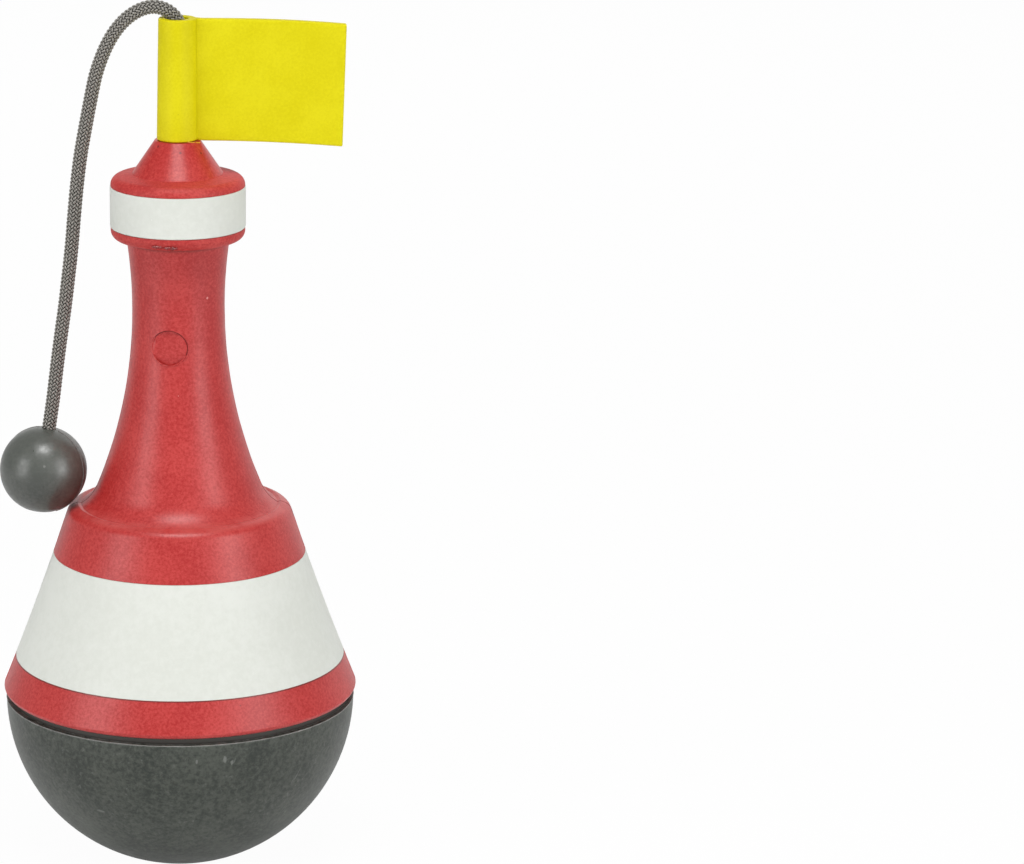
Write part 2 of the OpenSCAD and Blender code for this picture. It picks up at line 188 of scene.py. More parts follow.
class Paint(Tree):
    """Node tree of one material, with the patterns that the finishes share."""

    SPECK_WAVES: float = 1.2
    SPECK_CORE: float = 0.45
    SPOT_GRAIN: float = 0.7
    SPOT_EDGE: Span = (1.75, 1.15)

    def __init__(self, name: str) -> None:
        """Starts a material with one principled shader.

        Args:
            name: the material's name.
        """
        self.material = bpy.data.materials.new(name)
        self.material.use_nodes = True
        super().__init__(self.material.node_tree)
        self.tree.nodes.clear()
        self.shader = self.add("ShaderNodeBsdfPrincipled")
        output = self.add("ShaderNodeOutputMaterial")
        self.tree.links.new(self.shader.outputs[0], output.inputs[0])
        self.place = self.add("ShaderNodeTexCoord").outputs["Object"]

    def set(self, **values: Feed) -> None:
        """Feeds the shader's sockets, whose names are written with underscores for spaces."""
        for name, value in values.items():
            self.feed(self.shader.inputs[name.replace("_", " ")], value)

    def noise(
        self, size: float, detail: float = 3.0, rough: float = 0.5, at: Feed | None = None
    ) -> bpy.types.NodeSocket:
        """Adds a cloudy pattern.

        Args:
            size: width of its largest patches, in millimetres.
            detail: how many finer patterns lie on it.
            rough: how strong those are.
            at: coordinates, if not the object's own.

        Returns:
            A number round 0.5.
        """
        at = self.place if at is None else at
        inputs = {"Vector": at, "Scale": 1.0 / (size * MM), "Detail": detail, "Roughness": rough}
        return self.add("ShaderNodeTexNoise", inputs).outputs[0]

    def specks(self, cell: float, size: float, share: float, shift: float = 0.0) -> bpy.types.NodeSocket:
        """Adds scattered specks.

        Args:
            cell: mean distance between places for a speck, in millimetres.
            size: radius of a speck, in millimetres.
            share: share of the places that have one.
            shift: moves the pattern, in millimetres.

        Returns:
            1 in a speck and 0 outside.
        """
        at = self.vector("ADD", self.place, (shift * MM, shift * MM, shift * MM))
        inputs = {"Vector": at, "Scale": self.SPECK_WAVES / (size * MM), "Detail": 1.0}
        wave = self.add("ShaderNodeTexNoise", inputs)
        bend = self.vector("SUBTRACT", wave.outputs[1], (0.5, 0.5, 0.5))
        bent = self.vector("ADD", at, self.scaled(bend, size * MM))
        cells = self.add("ShaderNodeTexVoronoi", {"Vector": bent, "Scale": 1.0 / (cell * MM)})
        near = self.ramp(cells.outputs["Distance"], size / cell, self.SPECK_CORE * size / cell)
        pick = self.add("ShaderNodeSeparateColor", {0: cells.outputs["Color"]}).outputs[0]
        return self.math("MULTIPLY", near, self.math("LESS_THAN", pick, share))

    def ramp(self, value: Feed, low: float, high: float) -> bpy.types.NodeSocket:
        """Turns a number into a soft step.

        Args:
            value: the number.
            low: where the step starts, at 0.
            high: where it ends, at 1.

        Returns:
            A number from 0 to 1.
        """
        first, last = (1.0, 0.0) if low > high else (0.0, 1.0)
        inputs = {"Value": value, 1: min(low, high), 2: max(low, high), 3: first, 4: last}
        return self.add("ShaderNodeMapRange", inputs, interpolation_type="SMOOTHSTEP").outputs[0]

    def blend(self, share: Feed, first: Feed | Colour, second: Feed | Colour) -> bpy.types.NodeSocket:
        """Mixes two colours.

        Args:
            share: how much of the second.
            first: a colour.
            second: another.

        Returns:
            The mixed colour's socket.
        """
        full = [c if isinstance(c, bpy.types.NodeSocket) else (*c, 1.0) for c in (first, second)]
        node = self.add("ShaderNodeMix", {0: share, 6: full[0], 7: full[1]}, data_type="RGBA")
        return node.outputs[2]

    def over(self, colour: Feed, coat: Colour, mask: Feed, share: float) -> bpy.types.NodeSocket:
        """Lays a coat over a colour where the mask is 1, so that it hides a share of it."""
        return self.blend(self.math("MULTIPLY", mask, share), colour, coat)

    def bump(self, height: Feed, depth: float) -> bpy.types.NodeSocket:
        """Adds relief of a depth in millimetres and gives its normal."""
        inputs = {"Height": height, "Distance": depth * MM, "Strength": 1.0}
        return self.add("ShaderNodeBump", inputs).outputs[0]

    def height_mm(self) -> bpy.types.NodeSocket:
        """Gives the height over the floor in millimetres."""
        return self.math("MULTIPLY", self.add("ShaderNodeSeparateXYZ", {0: self.place}).outputs[2], 1.0 / MM)

    def spot(self, middle: Point, radius: float, stretch: Point = (1.0, 1.0, 1.0)) -> bpy.types.NodeSocket:
        """Adds one ragged spot at a place.

        Args:
            middle: the spot's middle, in millimetres.
            radius: its radius, in millimetres.
            stretch: how much faster the distance grows along each axis.

        Returns:
            1 in the spot and 0 outside.
        """
        away = self.vector("SUBTRACT", self.place, tuple(c * MM for c in middle))
        away = self.vector("MULTIPLY", away, stretch)
        far = self.add("ShaderNodeVectorMath", {0: away}, operation="LENGTH").outputs["Value"]
        grain = self.noise(self.SPOT_GRAIN * radius, detail=2.0, rough=0.6)
        ragged = self.math("MULTIPLY_ADD", grain, radius * MM, far)
        return self.ramp(ragged, *(edge * radius * MM for edge in self.SPOT_EDGE))


@dataclass(frozen=True)
class Rubber:
    """Moulded rubber: clouds, fine mottling, specks and grain."""

    name: str
    deep: Colour
    pale: Colour
    dark_speck: Colour
    light_speck: Colour
    cloud: float = 18.0
    cloud_share: float = 0.45
    mottle: float = 1.1
    grain: float = 0.35
    tones: Span = (0.36, 0.64)
    grain_depth: float = 0.02
    rough: float = 0.55
    rough_spread: float = 0.12
    rough_patch: float = 6.0
    gloss: float = 0.4
    dark_share: float = 0.35
    light_share: float = 0.3
    dark_cell: float = 9.0
    dark_size: float = 0.24
    light_cell: float = 7.0
    light_size: float = 0.2
    light_shift: float = 310.0
    coat: float = 0.0
    coat_rough: float = 0.14
    # dark spots of painted shade where small pits lie, with no relief
    shaded_pits: tuple[Point, ...] = ()
    crumbs: tuple[Point, ...] = ()
    pit_size: float = 0.4
    pit_share: float = 0.8

    def colour(self, paint: Paint) -> bpy.types.NodeSocket:
        """Builds the colour pattern.

        Args:
            paint: the material's tree.

        Returns:
            The colour's socket.
        """
        clouds = paint.noise(self.cloud, detail=3.0, rough=0.55)
        mottle = paint.noise(self.mottle, detail=4.0, rough=0.72)
        both = paint.math("MULTIPLY_ADD", paint.math("SUBTRACT", clouds, mottle), self.cloud_share, mottle)
        colour = paint.blend(paint.ramp(both, *self.tones), self.deep, self.pale)
        dark = paint.specks(self.dark_cell, self.dark_size, self.dark_share)
        colour = paint.blend(dark, colour, self.dark_speck)
        light = paint.specks(self.light_cell, self.light_size, self.light_share, self.light_shift)
        colour = paint.blend(light, colour, self.light_speck)
        # painted shade: each pit is a dark spot of colour
        for place in self.shaded_pits:
            colour = paint.over(colour, self.dark_speck, paint.spot(place, self.pit_size), self.pit_share)
        for place in self.crumbs:
            colour = paint.blend(paint.spot(place, self.pit_size), colour, self.light_speck)
        return colour

    def roughness(self, paint: Paint) -> bpy.types.NodeSocket:
        """Builds the roughness, which changes a little from place to place."""
        soft = paint.noise(self.rough_patch, detail=2.0)
        return paint.math("MULTIPLY_ADD", paint.math("SUBTRACT", soft, 0.5), self.rough_spread, self.rough)

    def make(self) -> bpy.types.Material:
        """Builds the material."""
        paint = Paint(self.name)
        grain = paint.noise(self.grain, rough=0.6)
        paint.set(
            Base_Color=self.colour(paint),
            Roughness=self.roughness(paint),
            Specular_IOR_Level=self.gloss,
            Coat_Weight=self.coat,
            Coat_Roughness=self.coat_rough,
            Normal=paint.bump(grain, self.grain_depth),
        )
        return paint.material


@dataclass(frozen=True)
class BaseRubber(Rubber):
    """Rubber of the round base: dusty, scuffed, worn at its rim, with painted shade on the sealing lip and a
    darker painted shadow at the lip's foot.
    """

    rim_mm: float = 54.85
    dust_and_painted_light: Colour = (0.26, 0.27, 0.25)
    # painted shade on the sealing lip in the gap under the skirt, darker as painted shadow at its foot
    lip: Colour = (0.05, 0.047, 0.04)
    lip_foot_shadow: Colour = (0.036, 0.03, 0.026)
    dust_patch: float = 2.2
    dust_tones: Span = (0.56, 0.78)
    dust_and_painted_light_share: float = 0.42
    scratch_radians: Point = (0.4, 0.9, 0.5)
    scratch_squeeze: Point = (1.0, 16.0, 1.0)
    scratch_length: float = 14.0
    scratch_tones: Span = (0.71, 0.76)
    scratch_patch: float = 16.0
    scratch_patch_tones: Span = (0.56, 0.66)
    scratch_share: float = 0.5
    scuffs: tuple[Point, ...] = ((14.0, -54.9, 49.6), (16.3, -54.4, 48.3), (5.0, -56.6, 49.4))
    scuff_size: float = 0.9
    scuff_step: float = 0.15
    scuff_stretch: Point = (1.6, 1.0, 0.8)
    scuff_share: float = 0.5
    streak: Point = (-25.8, -43.2, 28.6)
    streak_size: float = 0.8
    streak_stretch: Point = (0.35, 1.0, 1.6)
    streak_share: float = 0.35
    worn_rise: Span = (-0.7, -0.1)
    worn_patch: float = 3.0
    worn_tones: Span = (0.3, 0.62)
    worn_share: float = 0.45
    foot_rise: Span = (0.2, 0.9)
    lip_rise: Span = (0.05, 0.2)
    lip_cell: float = 4.0
    lip_size: float = 0.22
    lip_share: float = 0.25
    lip_shift: float = 170.0

    def colour(self, paint: Paint) -> bpy.types.NodeSocket:
        """Builds the colour pattern.

        Args:
            paint: the material's tree.

        Returns:
            The colour's socket.
        """
        colour = super().colour(paint)
        dust_and_painted_light = paint.ramp(paint.noise(self.dust_patch, detail=5.0, rough=0.75), *self.dust_tones)
        colour = paint.over(colour, self.dust_and_painted_light, dust_and_painted_light, self.dust_and_painted_light_share)
        inputs = {0: paint.place, 2: self.scratch_radians, 3: self.scratch_squeeze}
        turned = paint.add("ShaderNodeMapping", inputs).outputs[0]
        lines = paint.noise(self.scratch_length, detail=2.0, rough=0.4, at=turned)
        where = paint.ramp(paint.noise(self.scratch_patch, detail=1.0), *self.scratch_patch_tones)
        scratches = paint.math("MULTIPLY", paint.ramp(lines, *self.scratch_tones), where)
        colour = paint.over(colour, self.dust_and_painted_light, scratches, self.scratch_share)
        for number, place in enumerate(self.scuffs):
            scuff = paint.spot(place, self.scuff_size - self.scuff_step * number, self.scuff_stretch)
            colour = paint.over(colour, self.dust_and_painted_light, scuff, self.scuff_share)
        streak = paint.spot(self.streak, self.streak_size, self.streak_stretch)
        colour = paint.over(colour, self.dust_and_painted_light, streak, self.streak_share)
        spans = (self.worn_rise, self.foot_rise, self.lip_rise)
        high = paint.height_mm()
        worn, on_foot, on_lip = (paint.ramp(high, *(self.rim_mm + z for z in span)) for span in spans)
        ragged = paint.ramp(paint.noise(self.worn_patch, detail=4.0, rough=0.7), *self.worn_tones)
        colour = paint.over(colour, self.dust_and_painted_light, paint.math("MULTIPLY", worn, ragged), self.worn_share)
        # painted shade: the sealing lip is darkened, and darker still at its foot as painted shadow
        lip = paint.blend(on_foot, self.lip_foot_shadow, self.lip)
        lip_dust = paint.specks(self.lip_cell, self.lip_size, self.lip_share, self.lip_shift)
        return paint.blend(on_lip, colour, paint.blend(lip_dust, lip, self.dust_and_painted_light))


@dataclass(frozen=True)
class BuoyRubber(Rubber):
    """Rubber of the body: painted highlight, pale along the shoulder's crest, and painted shade in its joints
    with band and collar.
    """

    # painted highlight: the crest is made paler where light runs along its rounded edge
    crest_mm: Span = (118.2, 119.6)
    crest_fade: Span = (1.5, 0.3)
    crest_patch: float = 5.0
    crest_tones: Span = (0.3, 0.6)
    crest_share: float = 0.5
    crest_highlight: Colour = (0.6, 0.1, 0.09)
    # height, half width and depth of the painted shade
    joint_shade_mm: tuple[Point, ...] = ((68.5, 0.26, 0.7), (207.6, 1.4, 0.5))
    joint_core: float = 0.2
    joint: Colour = (0.05, 0.012, 0.011)

    def colour(self, paint: Paint) -> bpy.types.NodeSocket:
        """Builds the colour pattern.

        Args:
            paint: the material's tree.

        Returns:
            The colour's socket.
        """
        high = paint.height_mm()
        # painted highlight on the shoulder's crest, in ragged patches that fade above it
        ragged = paint.ramp(paint.noise(self.crest_patch, rough=0.6), *self.crest_tones)
        worn = paint.math("MULTIPLY", paint.ramp(high, *self.crest_mm), ragged)
        fading = paint.ramp(high, *(self.crest_mm[1] + z for z in self.crest_fade))
        worn = paint.math("MULTIPLY", worn, fading)
        colour = paint.over(super().colour(paint), self.crest_highlight, worn, self.crest_share)
        # painted shade: dark bands along the white band's lower edge and on the neck under the collar
        for middle, half, share in self.joint_shade_mm:
            away = paint.math("ABSOLUTE", paint.math("SUBTRACT", high, middle))
            dark = paint.ramp(away, half, self.joint_core * half)
            colour = paint.over(colour, self.joint, dark, share)
        return colour


@dataclass(frozen=True)
class CollarRubber(Rubber):
    """Rubber of the collar: smoother on the cone than on the rim round its foot."""

    foot_mm: float = 229.25
    foot_rise: Span = (0.4, -0.1)
    rim_rough: float = 0.58

    def roughness(self, paint: Paint) -> bpy.types.NodeSocket:
        """Builds the roughness, which is greater on the rim."""
        on_rim = paint.ramp(paint.height_mm(), *(self.foot_mm + z for z in self.foot_rise))
        return paint.math("MULTIPLY_ADD", on_rim, self.rim_rough - self.rough, super().roughness(paint))


@dataclass(frozen=True)
class BallRubber(Rubber):
    """Rubber of the ball: painted light, paler on its upper half where the light from above falls."""

    lit_top_mm: Span = (119.0, 140.0)
    dust_and_painted_light: Colour = (0.125, 0.135, 0.118)
    dust_and_painted_light_share: float = 0.45

    def colour(self, paint: Paint) -> bpy.types.NodeSocket:
        """Builds the colour pattern, with painted light that grows towards the top."""
        # painted light: the upper half is made paler in place of the light from above
        lit_top = paint.ramp(paint.height_mm(), *self.lit_top_mm)
        return paint.over(super().colour(paint), self.dust_and_painted_light, lit_top, self.dust_and_painted_light_share)


@dataclass(frozen=True)
class FlagRubber(Rubber):
    """Rubber of the flag: faint painted shade in the crease beside its sleeve."""

    crease_mm: float = 6.2
    crease_reach: Span = (0.5, 0.1)
    shade: Colour = (0.66, 0.59, 0.0002)

    def colour(self, paint: Paint) -> bpy.types.NodeSocket:
        """Builds the colour pattern.

        Args:
            paint: the material's tree.

        Returns:
            The colour's socket.
        """
        # painted shade along the crease beside the sleeve
        along = paint.add("ShaderNodeSeparateXYZ", {0: paint.place}).outputs[0]
        away = paint.math("ABSOLUTE", paint.math("SUBTRACT", along, self.crease_mm * MM))
        shaded = paint.ramp(away, *(reach * MM for reach in self.crease_reach))
        return paint.blend(shaded, super().colour(paint), self.shade)


@dataclass(frozen=True)
class Plastic:
    """Moulded plastic with a fine texture and faint flow clouds."""

    name: str
    deep: Colour
    pale: Colour
    rough: float = 0.38
    rough_spread: float = 0.14
    rough_patch: float = 3.0
    gloss: float = 0.45
    cloud: float = 12.0
    tones: Span = (0.35, 0.65)
    speck: Colour = (0.3, 0.31, 0.32)
    speck_cell: float = 8.0
    speck_size: float = 0.16
    speck_share: float = 0.3
    grain: float = 0.5
    grain_depth: float = 0.008

    def make(self) -> bpy.types.Material:
        """Builds the material."""
        paint = Paint(self.name)
        clouds = paint.ramp(paint.noise(self.cloud, detail=4.0, rough=0.6), *self.tones)
        colour = paint.blend(clouds, self.deep, self.pale)
        specks = paint.specks(self.speck_cell, self.speck_size, self.speck_share)
        colour = paint.blend(specks, colour, self.speck)
        soft = paint.noise(self.rough_patch, rough=0.6)
        rough = paint.math("MULTIPLY_ADD", soft, self.rough_spread, self.rough - self.rough_spread / 2)
        paint.set(
            Base_Color=colour,
            Roughness=rough,
            Specular_IOR_Level=self.gloss,
            Normal=paint.bump(paint.noise(self.grain, detail=2.0), self.grain_depth),
        )
        return paint.material


@dataclass(frozen=True)
class Steel:
    """Plain turned steel with fine circular lines."""

    name: str
    tint: Colour
    bright: float = 1.25
    line: float = 0.12
    line_depth: float = 0.01
    rough: float = 0.24
    rough_spread: float = 0.2

    def make(self) -> bpy.types.Material:
        """Builds the material."""
        paint = Paint(self.name)
        flat = paint.vector("MULTIPLY", paint.place, (1.0, 1.0, 0.0))
        reach = paint.add("ShaderNodeVectorMath", {0: flat}, operation="LENGTH").outputs["Value"]
        across = paint.add("ShaderNodeCombineXYZ", {0: reach, 1: paint.height_mm()}).outputs[0]
        lines = paint.noise(self.line, detail=2.0, at=across)
        bright = tuple(self.bright * c for c in self.tint)
        paint.set(
            Base_Color=paint.blend(lines, self.tint, bright),
            Metallic=1.0,
            Roughness=paint.math("MULTIPLY_ADD", lines, self.rough_spread, self.rough),
            Normal=paint.bump(lines, self.line_depth),
        )
        return paint.material


@dataclass(frozen=True)
class Yarn:
    """Braided yarn: fibres along each strand, with painted shade where it dips under its neighbours."""

    name: str
    deep: Colour
    pale: Colour
    dip_shade: Colour
    girth: float = 4.0
    fibre: float = 0.16
    fibre_draw: Point = (0.18, 1.0, 1.0)
    fibre_depth: float = 0.05
    tones: Span = (0.35, 0.65)
    dip: Span = (0.7, -0.15)
    rough: float = 0.5
    gloss: float = 0.5

    def make(self) -> bpy.types.Material:
        """Builds the material."""
        paint = Paint(self.name)
        along, across, rise, turn = (
            paint.add("ShaderNodeAttribute", attribute_name=f"strand_{field_name}").outputs["Fac"]
            for field_name in ("along", "across", "rise", "turn")
        )
        inputs = {0: along, 1: paint.math("MULTIPLY", across, self.girth * MM), 2: turn}
        at = paint.add("ShaderNodeCombineXYZ", inputs).outputs[0]
        fibres = paint.noise(self.fibre, rough=0.65, at=paint.vector("MULTIPLY", at, self.fibre_draw))
        colour = paint.blend(paint.ramp(fibres, *self.tones), self.deep, self.pale)
        # painted shade where the strand dips under its neighbours
        colour = paint.blend(paint.ramp(rise, *self.dip), colour, self.dip_shade)
        paint.set(
            Base_Color=colour,
            Roughness=self.rough,
            Specular_IOR_Level=self.gloss,
            Normal=paint.bump(fibres, self.fibre_depth),
        )
        return paint.material


RED = BuoyRubber(
    "red_rubber", (0.4, 0.012, 0.012), (0.555, 0.053, 0.048), (0.11, 0.008, 0.01), (0.72, 0.32, 0.29),
    rough=0.38, gloss=0.5, dark_share=0.2, light_share=0.3, cloud_share=0.3, mottle=0.9,
    crumbs=((9.25, -11.75, 190.7),),
)
COLLAR_RED = CollarRubber(
    "collar_red_rubber",
    (0.415, 0.013, 0.012), (0.575, 0.056, 0.048), (0.11, 0.008, 0.01), (0.72, 0.32, 0.29),
    rough=0.34, gloss=0.5, dark_share=0.2, light_share=0.3, cloud_share=0.3, mottle=0.9,
    shaded_pits=((0.88, -9.0, 237.5), (7.43, -5.87, 236.85), (-6.2, -5.25, 238.8)),
)
GLOSSY_RED = Rubber(
    "glossy_red_bead", (0.17, 0.003, 0.004), (0.34, 0.014, 0.014), (0.08, 0.003, 0.003), (0.6, 0.2, 0.2),
    rough=0.13, gloss=0.8, mottle=1.6, dark_share=0.6,
)
# dark lines of painted shade along the plug's edge and the parting line over the shoulder
CREASE_SHADE_RED = Rubber(
    "crease_painted_shade_rubber", (0.13, 0.008, 0.008), (0.22, 0.014, 0.013), (0.06, 0.005, 0.005), (0.4, 0.1, 0.09),
    rough=0.6, gloss=0.3,
)
WHITE = Rubber(
    "white_rubber", (0.705, 0.725, 0.668), (0.755, 0.775, 0.722), (0.4, 0.41, 0.36), (0.85, 0.86, 0.82),
    cloud=30.0, mottle=2.4, grain_depth=0.008, rough=0.5, gloss=0.3, dark_share=0.1, light_share=0.1,
)
YELLOW = FlagRubber(
    "yellow_rubber", (0.685, 0.6, 0.0005), (0.765, 0.685, 0.007), (0.5, 0.42, 0.01), (0.88, 0.84, 0.22),
    cloud=16.0, mottle=0.8, grain=0.5, gloss=0.16, dark_share=0.04, light_share=0.25,
)
SLEEVE_FLASH = Rubber(
    "sleeve_flash", (0.78, 0.42, 0.02), (0.9, 0.6, 0.12), (0.4, 0.2, 0.02), (0.9, 0.8, 0.4), rough=0.4,
)
BALL_GREY = BallRubber(
    "ball_rubber", (0.023, 0.027, 0.022), (0.067, 0.073, 0.063), (0.012, 0.012, 0.012), (0.2, 0.2, 0.19),
    rough=0.36, rough_spread=0.3, rough_patch=1.6, gloss=0.75, coat=0.1,
    dark_share=0.3, light_share=0.15, grain_depth=0.012,
    shaded_pits=((-50.7, -11.7, 135.3), (-43.76, -13.93, 128.91), (-49.17, -11.42, 137.59)),
    crumbs=((-43.43, -13.36, 135.57),),
)
# parting line on the ball; its pale colour is a painted highlight on the raised seam
BALL_SEAM_HIGHLIGHT = Rubber(
    "ball_seam_painted_highlight", (0.12, 0.115, 0.108), (0.2, 0.19, 0.18), (0.03, 0.03, 0.03), (0.3, 0.3, 0.28),
    rough=0.35, gloss=0.5,
)
BASE_GREY = BaseRubber(
    "base_rubber", (0.022, 0.028, 0.022), (0.074, 0.082, 0.068), (0.015, 0.016, 0.015), (0.28, 0.28, 0.26),
    rough=0.42, gloss=0.45, cloud_share=0.3, mottle=1.5, light_share=0.5,
)
# flash along the base's rim; its pale colour is a painted highlight on the edge
FLASH_HIGHLIGHT_GREY = Rubber(
    "base_rim_flash_painted_highlight", (0.2, 0.203, 0.19), (0.37, 0.373, 0.355), (0.12, 0.11, 0.1), (0.6, 0.59, 0.56),
    rough=0.5, gloss=0.4,
)
SEAL_BLACK = Rubber(
    "seal_rubber", (0.01, 0.01, 0.011), (0.02, 0.02, 0.022), (0.004, 0.004, 0.004), (0.1, 0.1, 0.1),
    rough=0.4, light_share=0.12,
)
LINER_GREY = Plastic("liner_plastic", (0.54, 0.57, 0.59), (0.6, 0.63, 0.65))
MAST_GREY = Plastic("mast_plastic", (0.46, 0.48, 0.5), (0.54, 0.56, 0.58))
BALLAST_STEEL = Steel("ballast_steel", (0.42, 0.43, 0.44))
CORD_YARN = Yarn("cord_yarn", (0.13, 0.122, 0.108), (0.44, 0.42, 0.38), (0.01, 0.008, 0.007))
# nearly black core: painted shade seen in the gaps between the strands
CORD_CORE_SHADE = Plastic("cord_core_painted_shade", (0.012, 0.01, 0.009), (0.025, 0.02, 0.018), 0.8)


@dataclass(frozen=True)
class Ridge:
    """Sizes of a thin ridge: its radius, how uneven it is over which length, and its sides."""

    radius: float
    uneven: float
    patch: float
    seed: float = 0.0
    sides: int = 6

    def inputs(self) -> dict[str, float]:
        """Gives the inputs of the ridge's node tree."""
        return {
            "Radius": self.radius * MM,
            "Unevenness": self.uneven,
            "Patch": self.patch * MM,
            "Seed": self.seed,
            "Sides": self.sides,
        }


class Workshop:
    """The frame's nodes and bodies, and what dressing them needs."""

    def __init__(self) -> None:
        """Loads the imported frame."""
        self.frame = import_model()
        self.cad_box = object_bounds()
        self.made: dict[str, bpy.types.Material] = {}
        self.ridge_trees: dict[str, bpy.types.NodeTree] = {}

    def material(self, finish: Rubber | Plastic | Steel | Yarn) -> bpy.types.Material:
        """Gives a finish's material, made once.

        Args:
            finish: the finish.

        Returns:
            Its material.
        """
        if finish.name not in self.made:
            self.made[finish.name] = finish.make()
        return self.made[finish.name]

    def dress(self, node: str, finish: Rubber | Plastic | Steel) -> None:
        """Gives a node of the frame its finish.

        Args:
            node: the node's name.
            finish: what it is made of.
        """
        mesh = self.frame["nodes"][node].data
        mesh.materials.clear()
        mesh.materials.append(self.material(finish))
        LOG.info("dressed %s with %s", node, finish.name)

    def add(
        self, name: str, mesh: bpy.types.Mesh, body: str, slot: str, replaces: tuple[str, ...] = ()
    ) -> bpy.types.Object:
        """Adds a piece that rides on a body.

        Args:
            name: the piece's name.
            mesh: its mesh, in place.
            body: the body that carries it.
            slot: the record's material slot; not used.
            replaces: nodes that it stands for.

        Returns:
            The piece.
        """
        piece = bpy.data.objects.new(name, mesh)
        bpy.context.scene.collection.objects.link(piece)
        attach(piece, body)
        if replaces:
            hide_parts(*replaces)
        LOG.info("made %s with %d faces on %s", name, len(mesh.polygons), body)
        return piece

    def ridge(
        self,
        name: str,
        points: list[Vector],
        shape: Ridge,
        finish: Rubber,
        body: str,
        slot: str,
        closed: bool = False,
    ) -> None:
        """Adds a thin ridge along a line.

        Args:
            name: the piece's name.
            points: the line's points, in metres.
            shape: the ridge's sizes.
            finish: what it is made of.
            body: the body that carries it.
            slot: the record's material slot; not used.
            closed: whether the last point joins the first.
        """
        if finish.name not in self.ridge_trees:
            self.ridge_trees[finish.name] = ridge_tree(f"{finish.name}_ridge", self.material(finish))
        line = line_object(f"{name}_line", points, closed)
        mesh = grown_mesh(line, self.ridge_trees[finish.name], shape.inputs(), name)
        self.add(name, mesh, body, slot)


def line_object(name: str, points: list[Vector], closed: bool) -> bpy.types.Object:
    """Makes a curve through points, for a node tree to work on.

    Args:
        name: the object's name.
        points: the curve's points, in metres.
        closed: whether the last point joins the first.

    Returns:
        The curve object, linked to the scene.
    """
    curve = bpy.data.curves.new(name, "CURVE")
    curve.dimensions = "3D"
    spline = curve.splines.new("POLY")
    spline.points.add(len(points) - 1)
    for target, point in zip(spline.points, points):
        target.co = (*point, 1.0)
    spline.use_cyclic_u = closed
    made = bpy.data.objects.new(name, curve)
    bpy.context.scene.collection.objects.link(made)
    return made


def grown_mesh(
    source: bpy.types.Object, group: bpy.types.NodeTree, values: dict[str, object], name: str
) -> bpy.types.Mesh:
    """Runs a node tree on an object and keeps the result as a plain mesh.

    Args:
        source: the object that the tree starts from; it is removed.
        group: the node tree.
        values: its named inputs.
        name: the mesh's name.

    Returns:
        The mesh, in place.
    """
    modifier = source.modifiers.new("grow", "NODES")
    modifier.node_group = group
    for item in group.interface.items_tree:
        if item.item_type == "SOCKET" and item.in_out == "INPUT" and item.name in values:
            modifier[item.identifier] = values[item.name]
    graph = bpy.context.evaluated_depsgraph_get()
    grown = source.evaluated_get(graph)
    mesh = bpy.data.meshes.new_from_object(grown, preserve_all_data_layers=True, depsgraph=graph)
    mesh.name = name
    source.modifiers.remove(modifier)
    bpy.data.objects.remove(source)
    return mesh


class GrowTree(Tree):
    """A geometry node tree with named inputs."""

    def __init__(self, name: str, numbers: tuple[str, ...], counts: tuple[str, ...]) -> None:
        """Starts the tree.

        Args:
            name: the tree's name.
            numbers: names of the inputs that take any number.
            counts: names of the inputs that take whole numbers.
        """
        group = bpy.data.node_groups.new(name, "GeometryNodeTree")
        super().__init__(group)
        self.group = group
        group.interface.new_socket("Geometry", in_out="INPUT", socket_type="NodeSocketGeometry")
        for labels, kind in ((numbers, "NodeSocketFloat"), (counts, "NodeSocketInt")):
            for label in labels:
                group.interface.new_socket(label, in_out="INPUT", socket_type=kind)
        group.interface.new_socket("Geometry", in_out="OUTPUT", socket_type="NodeSocketGeometry")
        self.given = self.add("NodeGroupInput").outputs

    def store(self, geometry: Feed, name: str, value: Feed, kind: str = "FLOAT") -> bpy.types.NodeSocket:
        """Stores a field on the geometry's points under a name and gives the geometry."""
        inputs = {"Geometry": geometry, "Name": name, "Value": value}
        return self.add("GeometryNodeStoreNamedAttribute", inputs, data_type=kind, domain="POINT").outputs[0]

    def stored(self, name: str, kind: str = "FLOAT") -> bpy.types.NodeSocket:
        """Reads a stored field by its name."""
        return self.add("GeometryNodeInputNamedAttribute", {"Name": name}, data_type=kind).outputs[0]

    def tube(self, curve: Feed, profile: Feed) -> bpy.types.Node:
        """Draws a profile along a curve, with closed ends, and gives the node."""
        inputs = {"Curve": curve, "Profile Curve": profile, "Fill Caps": True}
        return self.add("GeometryNodeCurveToMesh", inputs)

    def finish(
        self, parts: list[bpy.types.NodeSocket], coats: list[tuple[bpy.types.Material, str | None]]
    ) -> bpy.types.NodeTree:
        """Joins the parts, realizes and coats them and ends the tree.

        Args:
            parts: the geometry.
            coats: materials, each with the name of the field that picks its faces, or None for all of them.

        Returns:
            The node tree.
        """
        joined = self.add("GeometryNodeJoinGeometry")
        for part in parts:
            self.tree.links.new(part, joined.inputs[0])
        smooth = self.add("GeometryNodeSetShadeSmooth", {0: joined.outputs[0]})
        whole = self.add("GeometryNodeRealizeInstances", {0: smooth.outputs[0]}).outputs[0]
        for material, pick in coats:
            inputs = {"Geometry": whole, "Material": material}
            if pick is not None:
                inputs["Selection"] = self.stored(pick, "BOOLEAN")
            whole = self.add("GeometryNodeSetMaterial", inputs).outputs[0]
        output = self.add("NodeGroupOutput")
        self.tree.links.new(whole, output.inputs[0])
        return self.group


